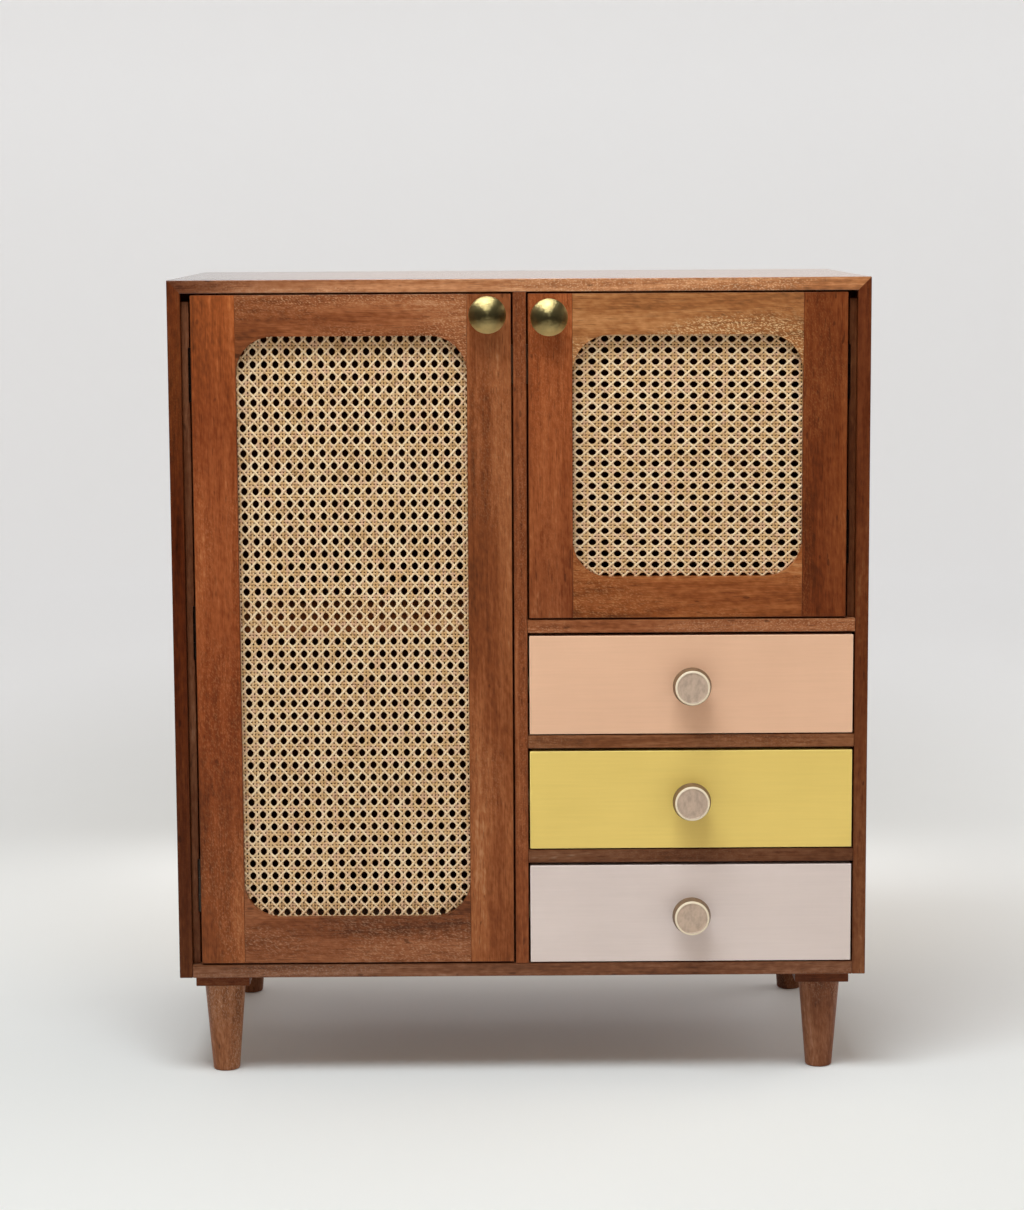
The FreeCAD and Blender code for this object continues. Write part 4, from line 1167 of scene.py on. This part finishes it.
class CABINET_OT_cane(bpy.types.Operator):
    """Weaves the two cane sheets: upright pairs, level pairs and both diagonals"""

    bl_idname = "cabinet.cane"
    bl_label = "Cane"

    def execute(self, context):
        cane = context.scene.cabinet.cane
        pairs = strand_recipe("cane_pairs", PAIR_STEPS, PAIR_HEIGHTS)
        diagonals = strand_recipe("cane_diagonals", DIAGONAL_STEPS, DIAGONAL_HEIGHTS)
        layouts = {
            "tall_door": (cane.close_pitch, cane.wide_pitch, cane.tall_across, cane.tall_down,
                          cane.tall_lean, 0.0),
            "small_door": (cane.wide_pitch, cane.close_pitch, cane.small_across, cane.small_down,
                           0.0, cane.small_droop),
        }
        for seed, (door, layout) in enumerate(layouts.items()):
            self.weave(cane, door, layout, pairs, diagonals, 10 * seed)
        return {"FINISHED"}

    def weave(self, cane, door, layout, pairs, diagonals, seed):
        across, up, first_across, first_down, lean, droop = layout
        jambs = sorted(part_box(f"{door}_{stile}_stile")[side].x
                       for stile in ("hinge", "knob") for side in (0, 1))[1:3]
        sheet_low, sheet_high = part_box(f"{door}_cane")
        trimmed = jambs[0] - sheet_low.x - cane.hidden
        left = sheet_low.x + trimmed
        low = sheet_low.z + trimmed
        width = sheet_high.x - sheet_low.x - 2 * trimmed
        tall = sheet_high.z - sheet_low.z - 2 * trimmed
        hole_x = cane.hidden + first_across
        hole_y = (tall - cane.hidden - first_down) % up
        columns = math.ceil(width / across) + 2
        levels = math.ceil(tall / up) + 2
        half_pair = (cane.strand + cane.gap) / 2
        pair_x = hole_x - 1.5 * across
        pair_y = hole_y - 1.5 * up
        shared = {"Sheet Width": width, "Sheet Height": tall, "Strand Width": cane.strand,
                  "Strand Thickness": cane.thickness, "Tone": PAIR_TONES[0],
                  "Tone Spread": PAIR_TONES[1]}
        askew = Matrix(((1, lean, 0, -lean * tall / 2), (droop, 1, 0, -droop * width / 2),
                        (0, 0, 1, 0), (0, 0, 0, 1)))
        stand = Matrix.Translation((left, cane_plane, low)) @ UPRIGHT @ askew
        pieces = {
            "uprights": (pairs, {
                "Rise": cane.rise, "Repeats": levels, "Rows": columns, "Bend Share": half_pair / up,
                "Row Step": (across, 0, 0), "First Start": (pair_x - half_pair, pair_y, 0),
                "First Run": (0, up, 0), "Second Start": (pair_x + half_pair, pair_y, 0),
                "Second Run": (0, up, 0)}),
            "levels": (pairs, {
                "Rise": -cane.rise, "Repeats": columns, "Rows": levels, "Bend Share": half_pair / across,
                "Row Step": (0, up, 0), "First Start": (pair_x, pair_y - half_pair, 0),
                "First Run": (across, 0, 0), "Second Start": (pair_x, pair_y + half_pair, 0),
                "Second Run": (across, 0, 0)}),
            "diagonals": (diagonals, {
                "Strand Width": cane.diagonal, "Rise": cane.diagonal_rise, "Lift": cane.diagonal_lift,
                "Tone": DIAGONAL_TONES[0], "Tone Spread": DIAGONAL_TONES[1], "Repeats": levels + 1,
                "Rows": columns + levels, "Bend Share": DIAGONAL_BEND, "Row Step": (across, 0, 0),
                "First Start": (pair_x - levels * across, hole_y - up, 0), "First Run": (across, up, 0),
                "Second Start": (pair_x - levels * across, hole_y + levels * up, 0),
                "Second Run": (across, -up, 0)}),
        }
        for number, (part, (recipe, values)) in enumerate(pieces.items()):
            piece = recipe.grow(f"{door}_cane_{part}", {**shared, **values, "Seed": seed + number})
            piece.data.transform(stand)
            settle(piece, door, "cane", f"{door}_cane")


# Fittings

# A screw head's sides, and its parts as shares of its radius and height
HEAD_SIDES = 20
HEAD_TOP = 0.8
SLOT_LENGTH = 1.1
SLOT_WIDTH = 0.24
SLOT_LIFT = 0.9


def screw_recipe():
    """A tree that sets a cross-slotted screw head on every point, facing its own way."""
    recipe = Recipe("screw_heads")
    radius = recipe.input("Head Radius")
    height = recipe.input("Head Height")
    head = recipe.node("GeometryNodeMeshCone", None, {
        "Vertices": HEAD_SIDES, "Radius Top": radius * HEAD_TOP, "Radius Bottom": radius,
        "Depth": height})
    cuts = []
    for width, depth in ((SLOT_LENGTH, SLOT_WIDTH), (SLOT_WIDTH, SLOT_LENGTH)):
        size = recipe.join(radius * width, radius * depth, height)
        cuts.append(recipe.node("GeometryNodeMeshCube", None, {"Size": size}))
    lifted = recipe.node("GeometryNodeTransform", None, {
        "Geometry": recipe.union(*cuts), "Translation": recipe.join(z=height * SLOT_LIFT)})
    slotted = recipe.node("GeometryNodeMeshBoolean", {"operation": "DIFFERENCE", "solver": "EXACT"},
                          {"Mesh 1": head, "Mesh 2": lifted, "Self Intersection": True})
    facing = recipe.node("GeometryNodeInputNamedAttribute", {"data_type": "FLOAT_VECTOR"},
                         {"Name": "facing"})
    turn = recipe.node("FunctionNodeAlignRotationToVector", {"axis": "Z"}, {"Vector": facing})
    heads = recipe.node("GeometryNodeInstanceOnPoints", None, {
        "Points": recipe.start(), "Instance": slotted, "Rotation": turn})
    return recipe.close(heads, finish_of("steel"))


def screw_heads(name, spots):
    """Screw heads at spots of (place, direction that the head faces)."""
    fittings = bpy.context.scene.cabinet.fittings
    points = bpy.data.meshes.new(name)
    points.from_pydata([place for place, _ in spots], [], [])
    facing = points.attributes.new("facing", "FLOAT_VECTOR", "POINT")
    facing.data.foreach_set("vector", [part for _, way in spots for part in way])
    sizes = {"Head Radius": fittings.screw_radius, "Head Height": fittings.screw_height}
    return screw_recipe().grow(name, sizes, points)


class CABINET_OT_fittings(bpy.types.Operator):
    """Finishes the hinges, catches, pins, bolts and screws"""

    bl_idname = "cabinet.fittings"
    bl_label = "Fittings"

    SHOWN = {
        "steel": ["hinge_frame_leaves", "hinge_pins", "shelf_pins", "leg_bolts"]
        + [f"{door}_{piece}" for door in DOORS for piece in ("hinge_leaves", "strike", "knob_screw")]
        + [f"{drawer}_knob_screw" for drawer in DRAWERS],
        "catch_plastic": ["door_magnets"],
    }

    def execute(self, context):
        for slot, nodes in self.SHOWN.items():
            for node in nodes:
                mesh = frame["nodes"][node].data
                mesh.materials.clear()
                mesh.materials.append(finish_of(slot))
        return {"FINISHED"}


# Studio

NEAR_RADIUS = 1.3
FLOOR_RADIUS = 4.6
GLOW_REACH = (0.7, 3.0)
GLOW_STRETCH = (1.5, 0.8, 1.0)
GLOW_TURN = (-1.8, 1.2)
WALL_BEND = 1.4
WALL_HEIGHT = 4.5
WALL_STEPS = 16
STUDIO_SEGMENTS = 96
# A place that all the studio's faces turn to
STUDIO_MIDDLE = Vector((0, 0, 1.5))
SENSOR_WIDTH = 36.0
# The size, place and aim of each light
LIGHTS = {
    "key": ((1.9, 1.0), (-0.40, -1.35, 3.0), (0.0, -0.2, 0.40)),
    "fill": ((2.0, 2.0), (2.5, 0.7, 1.3), (0.4, 0.2, 0.2)),
    "rear": ((1.0, 0.3), (0.0, 1.0, 0.42), (0.0, 0.30, 0.0)),
}


class CABINET_OT_studio(bpy.types.Operator):
    """Sets up the pale floor, the round wall, the soft lights and the camera"""

    bl_idname = "cabinet.studio"
    bl_label = "Studio"

    def execute(self, context):
        studio = context.scene.cabinet.studio
        paper = studio_paper()
        self.sweep("studio_floor", [(0, 0), (NEAR_RADIUS, 0)], paper)
        bend = arc((FLOOR_RADIUS, WALL_BEND), WALL_BEND, -90, 0, WALL_STEPS)
        rise = [(NEAR_RADIUS, 0)] + bend + [(FLOOR_RADIUS + WALL_BEND, WALL_HEIGHT)]
        self.sweep("studio_behind", rise, paper, 1)
        before = self.sweep("studio_before", rise, paper, -1)
        before.visible_glossy = False
        for name, (size, place, aim) in LIGHTS.items():
            lamp = self.light(f"{name}_light", getattr(studio, name), size, place, aim)
            if name == "key":
                lamp.color = studio.cool
        self.sky(context, studio)
        self.camera(context, studio)
        context.scene.view_settings.view_transform = "Standard"
        return {"FINISHED"}

    def sweep(self, name, profile, paper, half=0):
        bm = lathe(profile, Matrix.Identity(4), STUDIO_SEGMENTS)
        if half:
            other = [face for face in bm.faces if face.calc_center_median().y * half < 0]
            bmesh.ops.delete(bm, geom=other, context="FACES")
        for face in bm.faces:
            if face.normal.dot(STUDIO_MIDDLE - face.calc_center_median()) < 0:
                face.normal_flip()
        mesh = lathe_mesh(name, bm)
        mesh.materials.append(paper)
        piece = add_piece(name, mesh)
        return piece

    def light(self, name, watts, size, place, aim):
        lamp = bpy.data.lights.new(name, "AREA")
        lamp.energy = watts
        lamp.shape = "RECTANGLE"
        lamp.size, lamp.size_y = size
        holder = bpy.data.objects.new(name, lamp)
        holder.location = place
        holder.rotation_euler = (Vector(aim) - Vector(place)).to_track_quat("-Z", "Y").to_euler()
        holder.visible_camera = False
        bpy.context.scene.collection.objects.link(holder)
        return lamp

    def sky(self, context, studio):
        world = bpy.data.worlds.new("studio_sky")
        world.use_nodes = True
        backdrop = world.node_tree.nodes["Background"]
        backdrop.inputs["Color"].default_value = (*studio.warm, 1.0)
        backdrop.inputs["Strength"].default_value = studio.sky
        context.scene.world = world
        world.cycles_visibility.glossy = False

    def camera(self, context, studio):
        lens = bpy.data.cameras.new("camera")
        lens.lens = studio.lens
        lens.sensor_width = SENSOR_WIDTH
        camera = bpy.data.objects.new("camera", lens)
        turn = (Matrix.Rotation(-studio.yaw, 4, "Z")
                @ Matrix.Rotation(math.radians(90) - studio.pitch, 4, "X")
                @ Matrix.Rotation(studio.roll, 4, "Z"))
        place = Matrix.Translation((studio.camera_x, studio.camera_y, studio.camera_z))
        camera.matrix_world = place @ turn
        context.scene.collection.objects.link(camera)
        context.scene.camera = camera


# Panel and registration

OPERATORS = (
    CABINET_OT_carcass, CABINET_OT_door_frames, CABINET_OT_back_panel, CABINET_OT_legs,
    CABINET_OT_drawer_fronts, CABINET_OT_drawer_boxes, CABINET_OT_door_knobs, CABINET_OT_drawer_knobs,
    CABINET_OT_cane, CABINET_OT_fittings, CABINET_OT_studio,
)


class CABINET_PT_build(bpy.types.Panel):
    """Lists the cabinet's operators"""

    bl_idname = "CABINET_PT_build"
    bl_label = "Cane-door cabinet"
    bl_space_type = "VIEW_3D"
    bl_region_type = "UI"
    bl_category = "Cabinet"

    def draw(self, context):
        for operator in OPERATORS:
            self.layout.operator(operator.bl_idname)


CLASSES = (WoodSettings, CaneSettings, PaintSettings, KnobSettings, FittingSettings, StudioSettings,
           CabinetSettings, *OPERATORS, CABINET_PT_build)


def register():
    for each in CLASSES:
        bpy.utils.register_class(each)
    bpy.types.Scene.cabinet = bpy.props.PointerProperty(type=CabinetSettings)


def unregister():
    del bpy.types.Scene.cabinet
    for each in reversed(CLASSES):
        bpy.utils.unregister_class(each)


def main():
    """Builds every piece in order."""
    register()
    for operator in OPERATORS:
        group, name = operator.bl_idname.split(".")
        getattr(getattr(bpy.ops, group), name)()


if __name__ == "__main__":
    main()
